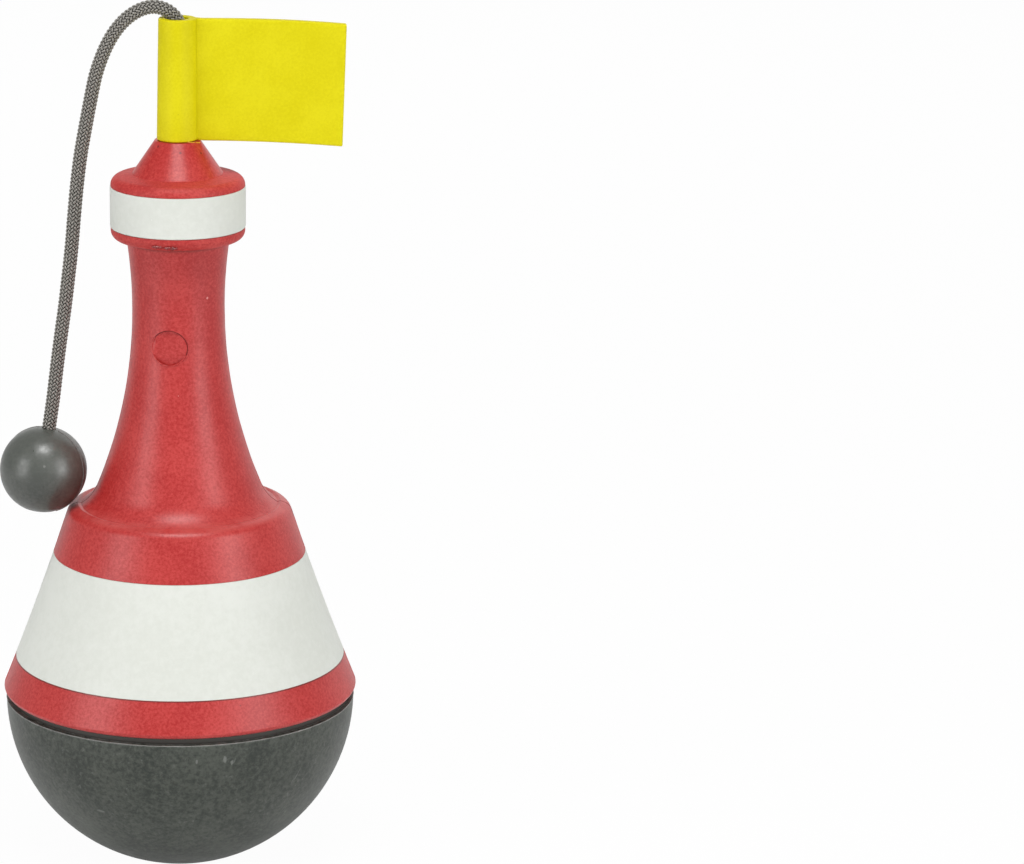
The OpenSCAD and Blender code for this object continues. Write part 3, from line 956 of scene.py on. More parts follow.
def ridge_tree(
    name: str, material: bpy.types.Material, swing: float = 4.0, thinnest: float = 0.05
) -> bpy.types.NodeTree:
    """Builds the tree for a thin uneven ridge along a curve.

    Args:
        name: the tree's name.
        material: what the ridge is made of.
        swing: how strongly the unevenness acts.
        thinnest: least share of the radius that is left.

    Returns:
        The node tree, with inputs Radius, Unevenness, Patch, Seed and Sides.
    """
    tree = GrowTree(name, ("Radius", "Unevenness", "Patch", "Seed"), ("Sides",))
    given = tree.given
    place = tree.add("GeometryNodeInputPosition").outputs[0]
    moved = tree.vector("ADD", place, tree.scaled((1.0, 1.0, 1.0), given["Seed"]))
    noise = tree.add(
        "ShaderNodeTexNoise",
        {"Vector": moved, "Scale": tree.math("DIVIDE", 1.0, given["Patch"]), "Detail": 3.0},
    ).outputs[0]
    strength = tree.math("MULTIPLY", given["Unevenness"], swing)
    change = tree.math("MULTIPLY", tree.math("SUBTRACT", noise, 0.5), strength)
    size = tree.math("MAXIMUM", tree.math("ADD", change, 1.0), thinnest)
    thick = tree.math("MULTIPLY", given["Radius"], size)
    shaped = tree.add("GeometryNodeSetCurveRadius", {"Curve": given["Geometry"], "Radius": thick})
    ring = tree.add("GeometryNodeCurvePrimitiveCircle", {"Resolution": given["Sides"], "Radius": 1.0})
    tube = tree.tube(shaped.outputs[0], ring.outputs[0])
    if "Scale" in tube.inputs:
        tree.feed(tube.inputs["Scale"], thick)
    return tree.finish([tube.outputs[0]], [(material, None)])


def braid_tree(
    name: str, yarn: bpy.types.Material, core: bpy.types.Material, strand_sides: int = 5, core_sides: int = 12
) -> bpy.types.NodeTree:
    """Builds the tree for a round braid along a curve, with strands that float over two and under two.

    Args:
        name: the tree's name.
        yarn: material of the strands.
        core: material of the core.
        strand_sides: sides of a strand's profile.
        core_sides: sides of the core's profile.

    Returns:
        The node tree, with inputs Lead, Radius, Weave, Width, Thickness, Samples and Strands.
    """
    tree = GrowTree(name, ("Lead", "Radius", "Weave", "Width", "Thickness"), ("Samples", "Strands"))
    given = tree.given
    inputs = {"Curve": given["Geometry"], "Count": given["Samples"]}
    route = tree.add("GeometryNodeResampleCurve", inputs).outputs[0]
    inputs = {"Resolution": strand_sides, "Radius": 1.0}
    circle = tree.add("GeometryNodeCurvePrimitiveCircle", inputs).outputs[0]
    half = [tree.math("MULTIPLY", given[side], 0.5) for side in ("Thickness", "Width")]
    shape = tree.add("ShaderNodeCombineXYZ", {0: half[0], 1: half[1], 2: 1.0}).outputs[0]
    flat = tree.add("GeometryNodeTransform", {"Geometry": circle, "Scale": shape}).outputs[0]
    spot = tree.add("GeometryNodeSplineParameter")
    profile = tree.store(flat, "strand_across", spot.outputs["Factor"])
    parts = []
    for way in Way:
        inputs = {"Geometry": route, "Amount": given["Strands"]}
        copies = tree.add("GeometryNodeDuplicateElements", inputs, domain="SPLINE")
        share = tree.math("DIVIDE", copies.outputs["Duplicate Index"], given["Strands"])
        turns = tree.math("DIVIDE", spot.outputs["Length"], given["Lead"])
        turns = tree.math("MULTIPLY", turns, float(way.value))
        turn = tree.math("MULTIPLY", tree.math("ADD", turns, share), math.tau)
        strand = tree.store(copies.outputs[0], "strand_turn", turn)
        strand = tree.store(strand, "strand_along", spot.outputs["Length"])
        turn = tree.stored("strand_turn")
        wave = tree.math("MULTIPLY_ADD", turn, tree.math("MULTIPLY", given["Strands"], 0.5), -math.pi / 4)
        rise = tree.math("MULTIPLY", tree.math("COSINE", wave), float(way.value))
        strand = tree.store(strand, "strand_rise", rise)
        normal = tree.add("GeometryNodeInputNormal").outputs[0]
        tangent = tree.add("GeometryNodeInputTangent").outputs[0]
        side = tree.vector("CROSS_PRODUCT", tangent, normal)
        out = tree.vector(
            "ADD",
            tree.scaled(normal, tree.math("COSINE", turn)),
            tree.scaled(side, tree.math("SINE", turn)),
        )
        strand = tree.store(strand, "strand_out", out, "FLOAT_VECTOR")
        outward = tree.stored("strand_out", "FLOAT_VECTOR")
        reach = tree.math("MULTIPLY_ADD", tree.stored("strand_rise"), given["Weave"], given["Radius"])
        inputs = {"Geometry": strand, "Offset": tree.scaled(outward, reach)}
        strand = tree.add("GeometryNodeSetPosition", inputs).outputs[0]
        inputs = {"Curve": strand, "Normal": outward}
        strand = tree.add("GeometryNodeSetCurveNormal", inputs, mode="FREE").outputs[0]
        parts.append(tree.tube(strand, profile).outputs[0])
    inner = tree.math("SUBTRACT", given["Radius"], given["Weave"])
    inputs = {"Resolution": core_sides, "Radius": inner}
    ring = tree.add("GeometryNodeCurvePrimitiveCircle", inputs).outputs[0]
    parts.append(tree.store(tree.tube(route, ring).outputs[0], "braid_core", True, "BOOLEAN"))
    return tree.finish(parts, [(yarn, None), (core, "braid_core")])


@dataclass
class Cup:
    """The round base with its liner, seal and ballast."""

    base_d: float = 114.0
    rim_z: float = 54.75
    flash_in: float = 0.05
    flash_steps: int = 360
    flash: Ridge = Ridge(radius=0.115, uneven=0.45, patch=5.0)

    def build(self, shop: Workshop) -> None:
        """Dresses the nodes and adds the flash along the rim.

        Args:
            shop: the frame and the finishes.
        """
        shop.dress("base_shell", BASE_GREY)
        shop.dress("ballast_disc", BALLAST_STEEL)
        shop.dress("cup_liner", LINER_GREY)
        shop.dress("seal_ring", SEAL_BLACK)
        reach = self.base_d / 2 - self.flash_in
        turns = spaced(0.0, math.tau, self.flash_steps)[:-1]
        points = [polar(reach, turn, self.rim_z) for turn in turns]
        # the rim's flash is a real ridge; its pale colour is a painted highlight
        shop.ridge("rim_flash", points, self.flash, FLASH_HIGHLIGHT_GREY, "cup", "base_rubber", closed=True)


@dataclass
class Buoy:
    """The hollow red body with its band, chamber and plug."""

    skirt_z: float = 57.054
    skirt_r: float = 57.7
    skirt_edge: float = 1.5
    shoulder_z: float = 118.754
    shoulder_r: float = 36.0
    skirt_hollow: float = 0.55
    waist_r: float = 14.8
    waist_z: float = 185.054
    neck_curve: float = 154.0
    neck_z: float = 207.754
    band_low: float = 68.654
    band_high: float = 103.554
    plug_z: float = 174.754
    plug_r: float = 5.8
    plug_turn: float = -102.0
    plug_steps: int = 96
    plug_edge: Ridge = Ridge(radius=0.24, uneven=0.2, patch=4.0, seed=0.7)
    # name, first and last angle, and how far it lies outside the plug
    plug_edges: tuple[tuple[str, float, float, float], ...] = (
        ("plug_flash", -216.0, -22.0, -0.14),
        ("plug_ridge", -40.0, 28.0, 0.4),
    )
    # dark line of painted shade round the plug's upper and right edge
    crease: Ridge = Ridge(radius=0.13, uneven=0.5, patch=5.0, seed=0.2)
    crease_arc: Span = (-22.0, 144.0)
    seam: Ridge = Ridge(radius=0.11, uneven=0.35, patch=6.0)
    seam_seed: float = 0.1
    seam_step: float = 1.5
    seam_foot: float = 2.0
    seam_gap: float = 0.2
    seam_below: float = 4.2
    seam_above: float = 7.2
    seam_top: float = 0.4
    # dark line of painted shade along the parting line over the shoulder
    over: Ridge = Ridge(radius=0.075, uneven=0.5, patch=5.0, seed=0.2)
    over_x: float = 24.0
    over_z: float = 113.0
    over_from: float = 6.6
    over_to: float = 77.6
    over_far: float = 40.0
    over_steps: int = 60

    def neck_radius(self, z: float) -> float:
        """Gives the neck's outer radius at a height."""
        return self.waist_r + self.neck_curve - math.sqrt(self.neck_curve**2 - (z - self.waist_z) ** 2)

    def skirt_radius(self, z: float) -> float:
        """Gives the skirt's outer radius at a height.

        Args:
            z: the height.

        Returns:
            The radius.
        """
        low = self.skirt_z + self.skirt_edge
        t = (z - low) / (self.shoulder_z - low)
        return self.skirt_r + (self.shoulder_r - self.skirt_r) * t - 4 * self.skirt_hollow * t * (1 - t)

    def seam_lines(self) -> list[list[Vector]]:
        """Gives the parting line's stretches on both sides of the body.

        Returns:
            Lists of points, in metres.
        """
        spans = [
            (self.skirt_z + self.seam_foot, self.band_low - self.seam_gap, self.skirt_radius),
            (self.band_high + self.seam_gap, self.shoulder_z - self.seam_below, self.skirt_radius),
            (self.shoulder_z + self.seam_above, self.neck_z - self.seam_top, self.neck_radius),
        ]
        lines = []
        for low, high, radius in spans:
            heights = spaced(low, high, round((high - low) / self.seam_step))
            for side in (1.0, -1.0):
                lines.append([Vector((side * radius(z), 0.0, z)) * MM for z in heights])
        return lines

    def shoulder_line(self, shell: bpy.types.Object, side: float) -> list[Vector]:
        """Lays the parting line's stretch over the shoulder on the body.

        Args:
            shell: the body.
            side: 1 for the flag's side and -1 for the other.

        Returns:
            Points of an open line, in metres.
        """
        middle = Vector((side * self.over_x, 0.0, self.over_z)) * MM
        points = []
        for angle in spaced(self.over_from, self.over_to, self.over_steps):
            a = math.radians(angle)
            way = Vector((side * math.cos(a), 0.0, math.sin(a)))
            found, place, _, _ = shell.ray_cast(middle + way * self.over_far * MM, -way)
            if found:
                points.append(place)
        return points

    def plug_arc(self, low: float, high: float, grow: float = 0.0) -> list[Vector]:
        """Gives a stretch of the plug's outline on the neck.

        Args:
            low: angle of its first point, in degrees from the plug's right side.
            high: angle of its last point.
            grow: how far it lies outside the plug's edge.

        Returns:
            Points of an open line, in metres.
        """
        points = []
        wide = self.plug_r + grow
        for angle in spaced(low, high, self.plug_steps):
            a = math.radians(angle)
            z = self.plug_z + wide * math.sin(a)
            reach = self.neck_radius(z)
            turn = math.radians(self.plug_turn) + math.asin(wide * math.cos(a) / reach)
            points.append(polar(reach, turn, z))
        return points

    def build(self, shop: Workshop) -> None:
        """Dresses the nodes and adds the parting lines, the plug's edges and the creases.

        Args:
            shop: the frame and the finishes.
        """
        shop.dress("buoy_shell", RED)
        shop.dress("vent_plug", RED)
        shop.dress("waist_band", WHITE)
        shop.dress("treat_chamber", LINER_GREY)
        body, slot = "buoy", "buoy_rubber"
        for number, points in enumerate(self.seam_lines(), 1):
            shape = replace(self.seam, seed=self.seam_seed * number)
            shop.ridge(f"body_seam_{number}", points, shape, RED, body, slot)
        for name, low, high, grow in self.plug_edges:
            shop.ridge(name, self.plug_arc(low, high, grow), self.plug_edge, RED, body, slot)
        # painted shade: a dark line round the plug's upper and right edge
        shop.ridge("plug_crease", self.plug_arc(*self.crease_arc), self.crease, CREASE_SHADE_RED, body, slot)
        shell = shop.frame["nodes"]["buoy_shell"]
        # painted shade: dark lines along the parting line over the shoulder
        for name, side in (("right_shoulder_crease", 1.0), ("left_shoulder_crease", -1.0)):
            shop.ridge(name, self.shoulder_line(shell, side), self.over, CREASE_SHADE_RED, body, slot)


@dataclass
class Collar:
    """The collar with its band and the beads of flash under it."""

    bead_z: float = 209.4
    bead_fall: float = 0.35
    bead_reach: float = 21.3
    bead_from: float = -113.5
    bead_to: float = -90.5
    bead_steps: int = 60
    bead: Ridge = Ridge(radius=0.45, uneven=1.2, patch=2.4, seed=0.43, sides=10)

    def build(self, shop: Workshop) -> None:
        """Dresses the nodes and adds the beads.

        Args:
            shop: the frame and the finishes.
        """
        shop.dress("collar_cap", COLLAR_RED)
        shop.dress("collar_band", WHITE)
        shop.dress("flag_mast", MAST_GREY)
        turns = spaced(self.bead_from, self.bead_to, self.bead_steps)
        heights = spaced(self.bead_z, self.bead_z - self.bead_fall, self.bead_steps)
        points = [polar(self.bead_reach, math.radians(turn), z) for turn, z in zip(turns, heights)]
        shop.ridge("collar_bead", points, self.bead, GLOSSY_RED, "buoy", "buoy_rubber")


@dataclass
class Flag:
    """The soft flag with its sleeve, as one rounded skin."""

    low_z: float = 240.154
    high_z: float = 279.454
    sleeve_r: float = 6.4
    bore_r: float = 4.6
    mouth_r: float = 3.6
    mouth_lip: float = 2.0
    lean_low: float = -0.25
    lean_high: float = 0.45
    half_t: float = 1.5
    reach: float = 54.0
    hang_x: float = 8.0
    hang: float = 0.2
    droop: float = 1.8
    # how far the edge hangs at the tip, and how sharply it curves
    drop_low: Span = (1.95, 1.7)
    drop_high: Span = (1.7, 2.2)
    high_sag: float = 0.15
    edge: float = 0.55
    sway: float = 0.5
    sway_bend: float = 1.3
    lip_edge: float = 0.004
    lip_in: float = 0.2
    sharp: float = 40.0
    ring_steps: int = 72
    root_steps: int = 6
    reach_steps: int = 40
    rise_steps: int = 26
    edge_steps: int = 4
    tip_steps: int = 6
    flash: Ridge = Ridge(radius=0.2, uneven=0.4, patch=2.0)
    flash_turn: Span = (-60.0, -23.0)
    flash_reach: Span = (6.4, 7.7)
    flash_z: Span = (240.35, 239.65)
    flash_steps: int = 24

    def outline(self) -> list[tuple[float, float, float, float]]:
        """Gives the outer outline in plan.

        Returns:
            Points as x, y and the outward direction's x and y: round the sleeve, out along one face,
            round the tip and back.
        """
        start = math.asin(self.half_t / self.sleeve_r)
        root = self.sleeve_r * math.cos(start)
        points = []
        for a in spaced(start, math.tau - start, self.ring_steps):
            nx, ny = math.cos(a), math.sin(a)
            points.append((self.sleeve_r * nx, self.sleeve_r * ny, nx, ny))
        flat_end = self.reach - self.edge
        points += [(x, -self.half_t, 0.0, -1.0) for x in spaced(root, flat_end, self.reach_steps)[1:]]
        inner = self.half_t - self.edge
        for sign in (-1.0, 1.0):
            for i in range(self.tip_steps):
                a = math.pi / 2 * (i + 0.5) / self.tip_steps
                a = a - math.pi / 2 if sign < 0 else a
                x, y = flat_end + self.edge * math.cos(a), sign * inner + self.edge * math.sin(a)
                points.append((x, y, math.cos(a), math.sin(a)))
        points += [(x, self.half_t, 0.0, 1.0) for x in spaced(flat_end, root, self.reach_steps)[:-1]]
        return points

    def levels(self) -> list[Span]:
        """Gives the heights of the rings.

        Returns:
            Share of the height and inset, from the bottom up, with rounded ends.
        """
        high = self.high_z - self.low_z
        turns = spaced(0.0, math.pi / 2, self.edge_steps)
        low = sorted((self.edge * (1 - math.sin(a)) / high, self.edge * (1 - math.cos(a))) for a in turns)
        first = low[-1][0]
        middle = [(share, 0.0) for share in spaced(first, 1 - first, self.rise_steps)[1:-1]]
        return low + middle + [(1 - share, inset) for share, inset in reversed(low)]

    def bore_levels(self) -> list[Span]:
        """Gives the rings of the bore, which ends under the narrower mouth.

        Returns:
            Share of the height and radius, from the bottom up.
        """
        ends = [(share, inset) for share, inset in self.levels() if inset > 0]
        lip = 1 - self.mouth_lip / (self.high_z - self.low_z)
        low = [(share, self.bore_r + inset) for share, inset in ends if share < 0.5]
        high = [(share, self.mouth_r + inset) for share, inset in ends if share > 0.5]
        step = [(lip - self.lip_edge, self.bore_r), (lip, self.bore_r - self.lip_in), (lip, self.mouth_r)]
        return low + step + high

    def bend(self, x: float, y: float, share: float) -> Vector:
        """Bends a point of the upright flag to its hanging shape.

        Args:
            x: place along the flag.
            y: place across it.
            share: share of the height.

        Returns:
            The bent point, in metres.
        """
        fall = math.tan(math.radians(self.droop))
        out = max(0.0, min(1.0, (x - self.sleeve_r) / (self.reach - self.sleeve_r)))
        drop = max(0.0, min(1.0, (x - self.sleeve_r) / (self.hang_x - self.sleeve_r)))
        low = self.low_z - self.hang * drop - self.drop_low[0] * out ** self.drop_low[1]
        high = self.high_z - self.high_sag * drop - self.drop_high[0] * out ** self.drop_high[1]
        z = low + (high - low) * share
        lean = fall * (high - low) * (1 - share) * out
        wave = self.sway * math.sin(math.pi * self.sway_bend * out) * out
        wall = max(0.0, (math.hypot(x, y) - self.bore_r) / (self.sleeve_r - self.bore_r))
        back = max(0.0, -x / self.sleeve_r)
        tilt = (self.lean_low + (self.lean_high - self.lean_low) * share) * wall * back
        return Vector((x - lean + tilt, y + wave, z)) * MM

    def skin(self) -> bpy.types.Mesh:
        """Builds the flag's mesh.

        Returns:
            The mesh, in place.
        """
        outline = self.outline()
        start = math.asin(self.half_t / self.sleeve_r)
        bore = spaced(start, math.tau - start, self.ring_steps)
        bore += spaced(math.tau - start, math.tau + start, self.root_steps)[1:-1]
        work = bmesh.new()
        outer_rings = [
            [work.verts.new(self.bend(x - nx * inset, y - ny * inset, share)) for x, y, nx, ny in outline]
            for share, inset in self.levels()
        ]
        inner_rings = [
            [work.verts.new(self.bend(wide * math.cos(a), wide * math.sin(a), share)) for a in bore]
            for share, wide in self.bore_levels()
        ]
        for rings, flip in ((outer_rings, False), (inner_rings, True)):
            for below, above in zip(rings, rings[1:]):
                count = len(below)
                for i in range(count):
                    k = (i + 1) % count
                    face = [below[i], below[k], above[k], above[i]]
                    work.faces.new(face[::-1] if flip else face)
        self.close(work, outer_rings[0], inner_rings[0], False)
        self.close(work, outer_rings[-1], inner_rings[-1], True)
        bmesh.ops.recalc_face_normals(work, faces=work.faces)
        mesh = bpy.data.meshes.new("flag_skin")
        work.to_mesh(mesh)
        work.free()
        mesh.shade_smooth()
        mesh.set_sharp_from_angle(angle=math.radians(self.sharp))
        return mesh

    def close(self, work: bmesh.types.BMesh, outer: list, inner: list, top: bool) -> None:
        """Closes one end of the skin between its outline and the bore.

        Args:
            work: the mesh in the making.
            outer: the end's outer ring.
            inner: the end's bore ring.
            top: whether it is the upper end.
        """
        faces = []
        for i in range(self.ring_steps):
            faces.append([outer[i], outer[i + 1], inner[i + 1], inner[i]])
        last = self.ring_steps
        faces.append([outer[last], outer[0], inner[0], *reversed(inner[last:])])
        count = len(outer)
        a, b = last, count
        while b - a > 2:
            faces.append([outer[a], outer[a + 1], outer[b - 1], outer[b % count]])
            a, b = a + 1, b - 1
        for face in faces:
            work.faces.new(face if top else face[::-1])

    def build(self, shop: Workshop) -> None:
        """Makes the skin and the flash under its sleeve.

        Args:
            shop: the frame and the finishes.
        """
        mesh = self.skin()
        mesh.materials.append(shop.material(YELLOW))
        shop.add("flag_skin", mesh, "flag", "flag_rubber", ("flag",))
        spans = (self.flash_turn, self.flash_reach, self.flash_z)
        rows = zip(*(spaced(*span, self.flash_steps) for span in spans))
        points = [polar(reach, math.radians(turn), z) for turn, reach, z in rows]
        shop.ridge("sleeve_flash", points, self.flash, SLEEVE_FLASH, "flag", "flag_rubber")


@dataclass
class Tether:
    """The braided cord with its ball."""

    mouth_z: float = 279.454
    mast_below: float = 18.3
    cord_d: float = 4.4
    lead: float = 15.8
    strands: int = 12
    strand_thick: float = 0.12
    strand_wide: float = 0.16
    strand_weave: float = 0.07
    plump: float = 0.13
    samples: int = 680
    mast_samples: int = 240
    ball_samples: int = 80
    knot_z: float = 194.654
    knot_r: float = 5.5
    knot_flat: float = 0.85
    knot_lump: float = 0.1
    knot_lumps: int = 3
    knot_twist: float = 5.0
    knot_round: tuple[int, int] = (48, 28)
    ball_r: float = 14.1
    ball_lean: float = 8.0
    recess_depth: float = 8.0
    end_in: float = 1.0
    end_knot_in: float = 3.0
    end_knot_r: float = 4.9
    end_knot_flat: float = 0.6
    seam: Ridge = Ridge(radius=0.19, uneven=0.3, patch=4.0)
    seam_seed: float = 0.2
    seam_turn: float = -23.0
    seam_from: float = 14.0
    seam_gap: float = 26.0
    seam_steps: int = 159
    # x, and the height over the sleeve's mouth
    route: list[Span] = field(
        default_factory=lambda: [
            (0, -18.3), (0.3, -14.3), (0.9, -10.3), (1.3, -7.8), (1.4, -5.4), (0.96, -2.65),
            (-0.3, -0.15), (-2.25, 1.85), (-4.75, 3.12), (-7.5, 3.55), (-10.5, 3), (-13.6, 1.5),
            (-16.8, -1), (-19.8, -4.6), (-22.2, -8.7), (-24.2, -13.3), (-26, -18.8), (-27.5, -25.8),
            (-29.15, -34.3), (-30.95, -44.3), (-32.25, -54.3), (-33.25, -64.3), (-34.15, -74.3),
            (-35.3, -84.3), (-36.55, -94.3), (-38, -104.3), (-39.35, -114.3), (-40.6, -124.3),
            (-42.1, -134.4),
        ]
    )

    def centreline(self, steps: int = 12) -> list[Vector]:
        """Gives a smooth line through the route's points.

        Args:
            steps: points for each stretch of the route.

        Returns:
            The line's points, in metres.
        """
        knots = [Vector((x, 0.0, self.mouth_z + z)) for x, z in self.route]
        knots = [2 * knots[0] - knots[1], *knots, 2 * knots[-1] - knots[-2]]
        line = []
        for a, b, c, d in zip(knots, knots[1:], knots[2:], knots[3:]):
            for i in range(steps):
                t = i / steps
                place = 2 * b + (c - a) * t
                place += (2 * a - 5 * b + 4 * c - d) * t**2
                place += (3 * b - a - 3 * c + d) * t**3
                line.append(0.5 * place)
        line.append(knots[-2])
        return [p * MM for p in line]

    def ball_matrix(self) -> Matrix:
        """Gives the matrix from the ball's axes to the toy's.

        Returns:
            The matrix. In the ball's axes the cord's end is the origin, and the cord comes from +Z.
        """
        x, z = self.route[-1]
        end = Vector((x, 0.0, self.mouth_z + z)) * MM
        return Matrix.Translation(end) @ Matrix.Rotation(math.radians(self.ball_lean), 4, "Y")

    def knob(
        self, name: str, radius: float, flat: float, material: bpy.types.Material, place: Matrix
    ) -> bpy.types.Mesh:
        """Builds the knotted end of the cord as a lumpy knob.

        Args:
            name: the mesh's name.
            radius: the knob's radius.
            flat: its height as a share of its width.
            material: its finish.
            place: where its middle lies.

        Returns:
            The mesh, in place.
        """
        work = bmesh.new()
        round_steps, rise_steps = self.knot_round
        bmesh.ops.create_uvsphere(work, u_segments=round_steps, v_segments=rise_steps, radius=1.0)
        for vertex in work.verts:
            x, y, z = vertex.co
            wave = math.sin(self.knot_lumps * math.atan2(y, x) + self.knot_twist * z)
            wide = 1 - self.knot_lump + self.knot_lump * wave * (1 - abs(z))
            vertex.co = Vector((x * wide, y * wide, z * flat)) * radius * MM
        mesh = bpy.data.meshes.new(name)
        work.to_mesh(mesh)
        work.free()
        mesh.transform(place)
        mesh.materials.append(material)
        mesh.shade_smooth()
        return mesh

    def braid(
        self, shop: Workshop, name: str, points: list[Vector], samples: int, more: float = 0.0
    ) -> bpy.types.Mesh:
        """Braids a stretch of cord.

        Args:
            shop: the frame and the finishes.
            name: the mesh's name.
            points: the centreline, in metres.
            samples: points along each strand.
            more: how much further its strands stand out where the cord is free.

        Returns:
            The mesh, in place.
        """
        tree = bpy.data.node_groups.get("cord_braid_nodes") or braid_tree(
            "cord_braid_nodes", shop.material(CORD_YARN), shop.material(CORD_CORE_SHADE)
        )
        thick, weave = self.strand_thick * self.cord_d, self.strand_weave * self.cord_d
        values = {
            "Samples": samples,
            "Strands": self.strands,
            "Lead": self.lead * MM,
            "Radius": (self.cord_d / 2 - thick / 2 - weave + more) * MM,
            "Weave": weave * MM,
            "Width": self.strand_wide * self.cord_d * MM,
            "Thickness": thick * MM,
        }
        return grown_mesh(line_object(f"{name}_line", points, False), tree, values, name)

    def build(self, shop: Workshop) -> None:
        """Makes the cord and its ends, and dresses the ball.

        Args:
            shop: the frame and the finishes.
        """
        line = self.centreline()
        mesh = self.braid(shop, "cord_braid", line, self.samples, self.plump)
        cord = shop.add("cord_braid", mesh, "tether", "cord_braid", ("throw_cord",))
        core = shop.material(CORD_CORE_SHADE)
        mast_z = self.mouth_z - self.mast_below
        heights = (self.knot_z - self.knot_r, (self.knot_z + mast_z) / 2, mast_z)
        hidden = [Vector((0.0, 0.0, z)) * MM for z in heights]
        mesh = self.braid(shop, "mast_cord", hidden, self.mast_samples)
        shop.add("mast_cord", mesh, "tether", "cord_braid", ("cord_anchor",))
        place = Matrix.Translation(Vector((0.0, 0.0, self.knot_z - self.knot_r * self.knot_flat)) * MM)
        mesh = self.knob("mast_knot", self.knot_r, self.knot_flat, core, place)
        shop.add("mast_knot", mesh, "tether", "cord_braid")
        top = self.recess_depth - 2 * self.ball_r
        inside = self.ball_matrix()
        hidden = [inside @ (Vector((0.0, 0.0, z)) * MM) for z in (0.0, top / 2, top - self.end_in)]
        mesh = self.braid(shop, "ball_cord", hidden, self.ball_samples)
        shop.add("ball_cord", mesh, "tether", "cord_braid", ("ball_anchor",))
        place = inside @ Matrix.Translation(Vector((0.0, 0.0, top - self.end_knot_in)) * MM)
        mesh = self.knob("ball_knot", self.end_knot_r, self.end_knot_flat, core, place)
        shop.add("ball_knot", mesh, "tether", "cord_braid")
        self.build_ball(shop)

    def build_ball(self, shop: Workshop) -> None:
        """Dresses the ball and adds its parting line.

        Args:
            shop: the frame and the finishes.
        """
        shop.dress("throw_ball", BALL_GREY)
        inside = self.ball_matrix()
        turn = math.radians(self.seam_turn)
        across = Vector((math.cos(turn), math.sin(turn), 0.0))
        first, second = [], []
        for angle in spaced(self.seam_from, 360.0 - self.seam_from, self.seam_steps):
            a = math.radians(angle)
            if abs(angle - 180.0) < self.seam_gap:
                continue
            place = (across * math.sin(a) + Vector((0, 0, math.cos(a) - 1.0))) * self.ball_r * MM
            half = first if angle < 180.0 else second
            half.append(inside @ place)
        # the seam is drawn in a pale finish as a painted highlight
        for number, points in enumerate((first, second), 1):
            shape = replace(self.seam, seed=self.seam_seed * number)
            shop.ridge(f"ball_seam_{number}", points, shape, BALL_SEAM_HIGHLIGHT, "tether", "ball_rubber")


@dataclass(frozen=True)
class Softbox:
    """One large lamp, placed round the toy, with its lengths in metres."""

    name: str
    azimuth: float
    elevation: float
    distance: float
    width: float
    height: float
    watts: float
    shines: bool = True

    def build(self, aim: Vector) -> None:
        """Hangs the lamp and points it at the toy.

        Args:
            aim: the point that it lights.
        """
        lamp = bpy.data.lights.new(self.name, "AREA")
        lamp.shape = "RECTANGLE"
        lamp.size, lamp.size_y = self.width, self.height
        lamp.energy = self.watts
        turn, rise = math.radians(self.azimuth), math.radians(self.elevation)
        way = Vector((math.sin(turn) * math.cos(rise), -math.cos(turn) * math.cos(rise), math.sin(rise)))
        holder = bpy.data.objects.new(self.name, lamp)
        turned = (-way).to_track_quat("-Z", "Y").to_matrix().to_4x4()
        holder.matrix_world = Matrix.Translation(aim + way * self.distance) @ turned
        holder.visible_glossy = self.shines
        bpy.context.scene.collection.objects.link(holder)


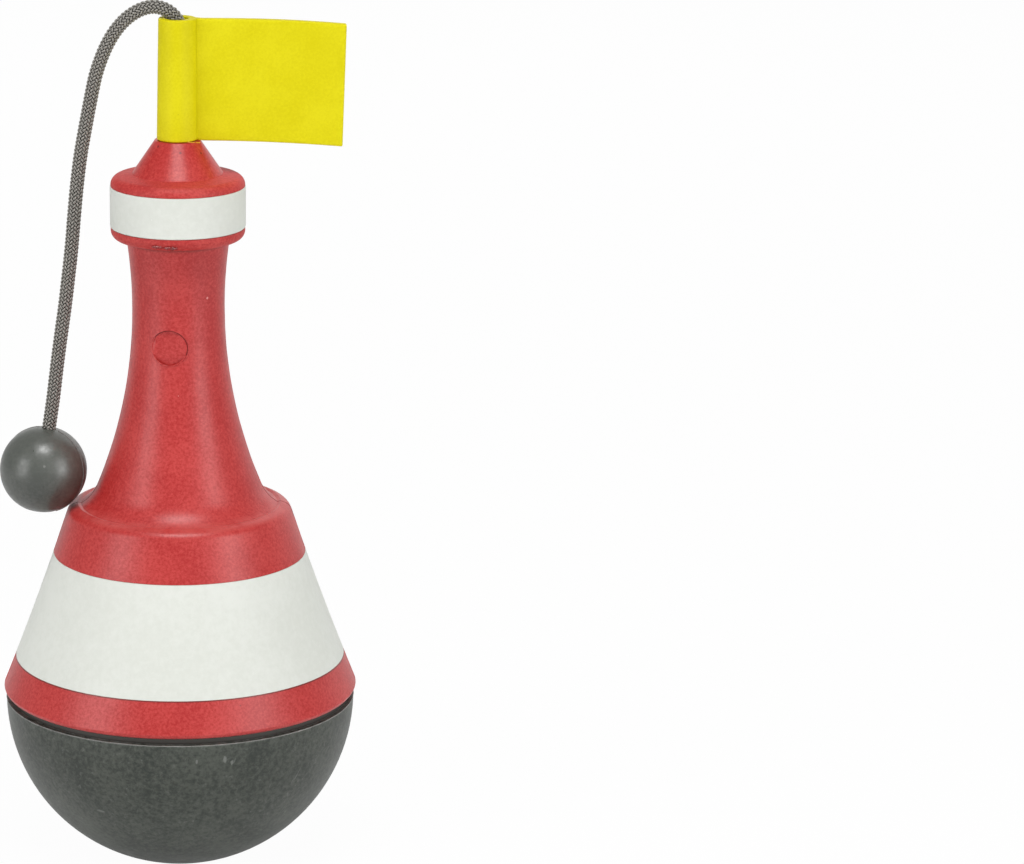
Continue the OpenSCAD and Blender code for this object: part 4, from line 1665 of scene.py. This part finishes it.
@dataclass
class Studio:
    """Camera, lamps and floor, with lengths in metres and the sensor in millimetres."""

    camera_place: Point = (0.0, -1.5, 0.53725)
    yaw: float = 4.137
    pitch: float = 14.7
    roll: float = 0.74
    focal_px: float = 4758.0
    frame_px: float = 1024.0
    sensor: float = 36.0
    clip: Span = (0.05, 30.0)
    aim: Point = (0.0, 0.0, 0.14)
    floor_half: float = 6.0
    floor_white: float = 0.9
    floor_lift: float = 0.97
    floor_shine: float = 0.35
    surround: float = 0.26
    shine_depth: Span = (0.55, 0.95)
    side_shine: float = 0.2
    right_shine: float = 0.45
    lamps: tuple[Softbox, ...] = (
        Softbox("left_softbox", -57.0, 13.0, 1.3, 0.58, 0.9, 5.8),
        Softbox("right_softbox", 51.0, 12.5, 1.3, 0.55, 0.85, 5.6),
        Softbox("top_softbox", 0.0, 68.0, 1.3, 0.6, 0.4, 8.7),
        Softbox("back_softbox", 180.0, 24.0, 1.8, 1.4, 0.7, 7.0, False),
    )

    def hang_camera(self) -> None:
        """Makes the scene's camera at the photograph's viewing angle."""
        yaw, pitch, roll = (math.radians(a) for a in (self.yaw, self.pitch, self.roll))
        look = Vector((math.sin(yaw) * math.cos(pitch), math.cos(yaw) * math.cos(pitch), -math.sin(pitch)))
        right = look.cross(Vector((0.0, 0.0, 1.0))).normalized()
        up = right.cross(look)
        right, up = (
            right * math.cos(roll) + up * math.sin(roll),
            up * math.cos(roll) - right * math.sin(roll),
        )
        data = bpy.data.cameras.new("photo_camera")
        data.sensor_width = self.sensor
        data.lens = self.focal_px * self.sensor / self.frame_px
        data.clip_start, data.clip_end = self.clip
        camera = bpy.data.objects.new("photo_camera", data)
        turn = Matrix((right, up, -look)).transposed().to_4x4()
        camera.matrix_world = Matrix.Translation(Vector(self.camera_place)) @ turn
        bpy.context.scene.collection.objects.link(camera)
        bpy.context.scene.camera = camera

    def lay_floor(self) -> None:
        """Lays a plain white floor that keeps the toy's shadow."""
        work = bmesh.new()
        bmesh.ops.create_grid(work, x_segments=1, y_segments=1, size=self.floor_half)
        mesh = bpy.data.meshes.new("floor")
        work.to_mesh(mesh)
        work.free()
        floor = bpy.data.objects.new("floor", mesh)
        bpy.context.scene.collection.objects.link(floor)
        material = bpy.data.materials.new("floor_white")
        material.use_nodes = True
        tree = Tree(material.node_tree)
        tree.tree.nodes.clear()
        white = (self.floor_white, self.floor_white, self.floor_white, 1.0)
        matte = tree.add("ShaderNodeBsdfDiffuse", {"Color": white})
        bright = tree.add("ShaderNodeEmission", {"Color": (1.0, 1.0, 1.0, 1.0), "Strength": 1.0})
        share = tree.math("MULTIPLY", self.seen(tree, self.floor_shine), self.floor_lift)
        mixed = tree.add("ShaderNodeMixShader", {0: share, 1: matte.outputs[0], 2: bright.outputs[0]})
        tree.add("ShaderNodeOutputMaterial", {0: mixed.outputs[0]})
        mesh.materials.append(material)
        floor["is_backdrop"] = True

    def seen(self, tree: Tree, shine: Feed) -> bpy.types.NodeSocket:
        """Tells rays that show the background from those that light the toy.

        Args:
            tree: the node tree to add to.
            shine: how much of the background a glossy ray shows.

        Returns:
            1 for camera and transmission rays, and the share for glossy ones.
        """
        path = tree.add("ShaderNodeLightPath").outputs
        glossy = tree.math("MULTIPLY", path["Is Glossy Ray"], shine)
        direct = tree.math("MAXIMUM", path["Is Camera Ray"], path["Is Transmission Ray"])
        return tree.math("MAXIMUM", direct, glossy)

    def light(self) -> None:
        """Sets the surround and hangs the lamps."""
        world = bpy.data.worlds.new("studio")
        world.use_nodes = True
        tree = Tree(world.node_tree)
        tree.tree.nodes.clear()
        way = tree.add("ShaderNodeTexCoord").outputs["Generated"]
        parts = tree.add("ShaderNodeSeparateXYZ", {0: way}).outputs
        depth = tree.math("MULTIPLY_ADD", parts[0], self.right_shine, tree.math("ABSOLUTE", parts[1]))
        near, far = self.shine_depth
        inputs = {"Value": depth, 1: near, 2: far, 3: self.side_shine, 4: 1.0}
        shine = tree.add("ShaderNodeMapRange", inputs, interpolation_type="SMOOTHSTEP").outputs[0]
        strength = tree.math("MULTIPLY_ADD", self.seen(tree, shine), 1.0 - self.surround, self.surround)
        back = tree.add("ShaderNodeBackground", {"Color": (1.0, 1.0, 1.0, 1.0), "Strength": strength})
        tree.add("ShaderNodeOutputWorld", {0: back.outputs[0]})
        bpy.context.scene.world = world
        for lamp in self.lamps:
            lamp.build(Vector(self.aim))

    def build(self) -> None:
        """Sets up the whole studio."""
        self.hang_camera()
        self.lay_floor()
        self.light()
        bpy.context.scene.view_settings.view_transform = "Standard"


def main() -> None:
    """Builds the toy's looks and the studio round it."""
    logging.basicConfig(level=logging.INFO, format="%(name)s: %(message)s")
    shop = Workshop()
    Studio().build()
    for assembly in (Tether(), Cup(), Buoy(), Collar(), Flag()):
        assembly.build(shop)
        LOG.info("finished %s", type(assembly).__name__)


if __name__ == "__main__":
    main()
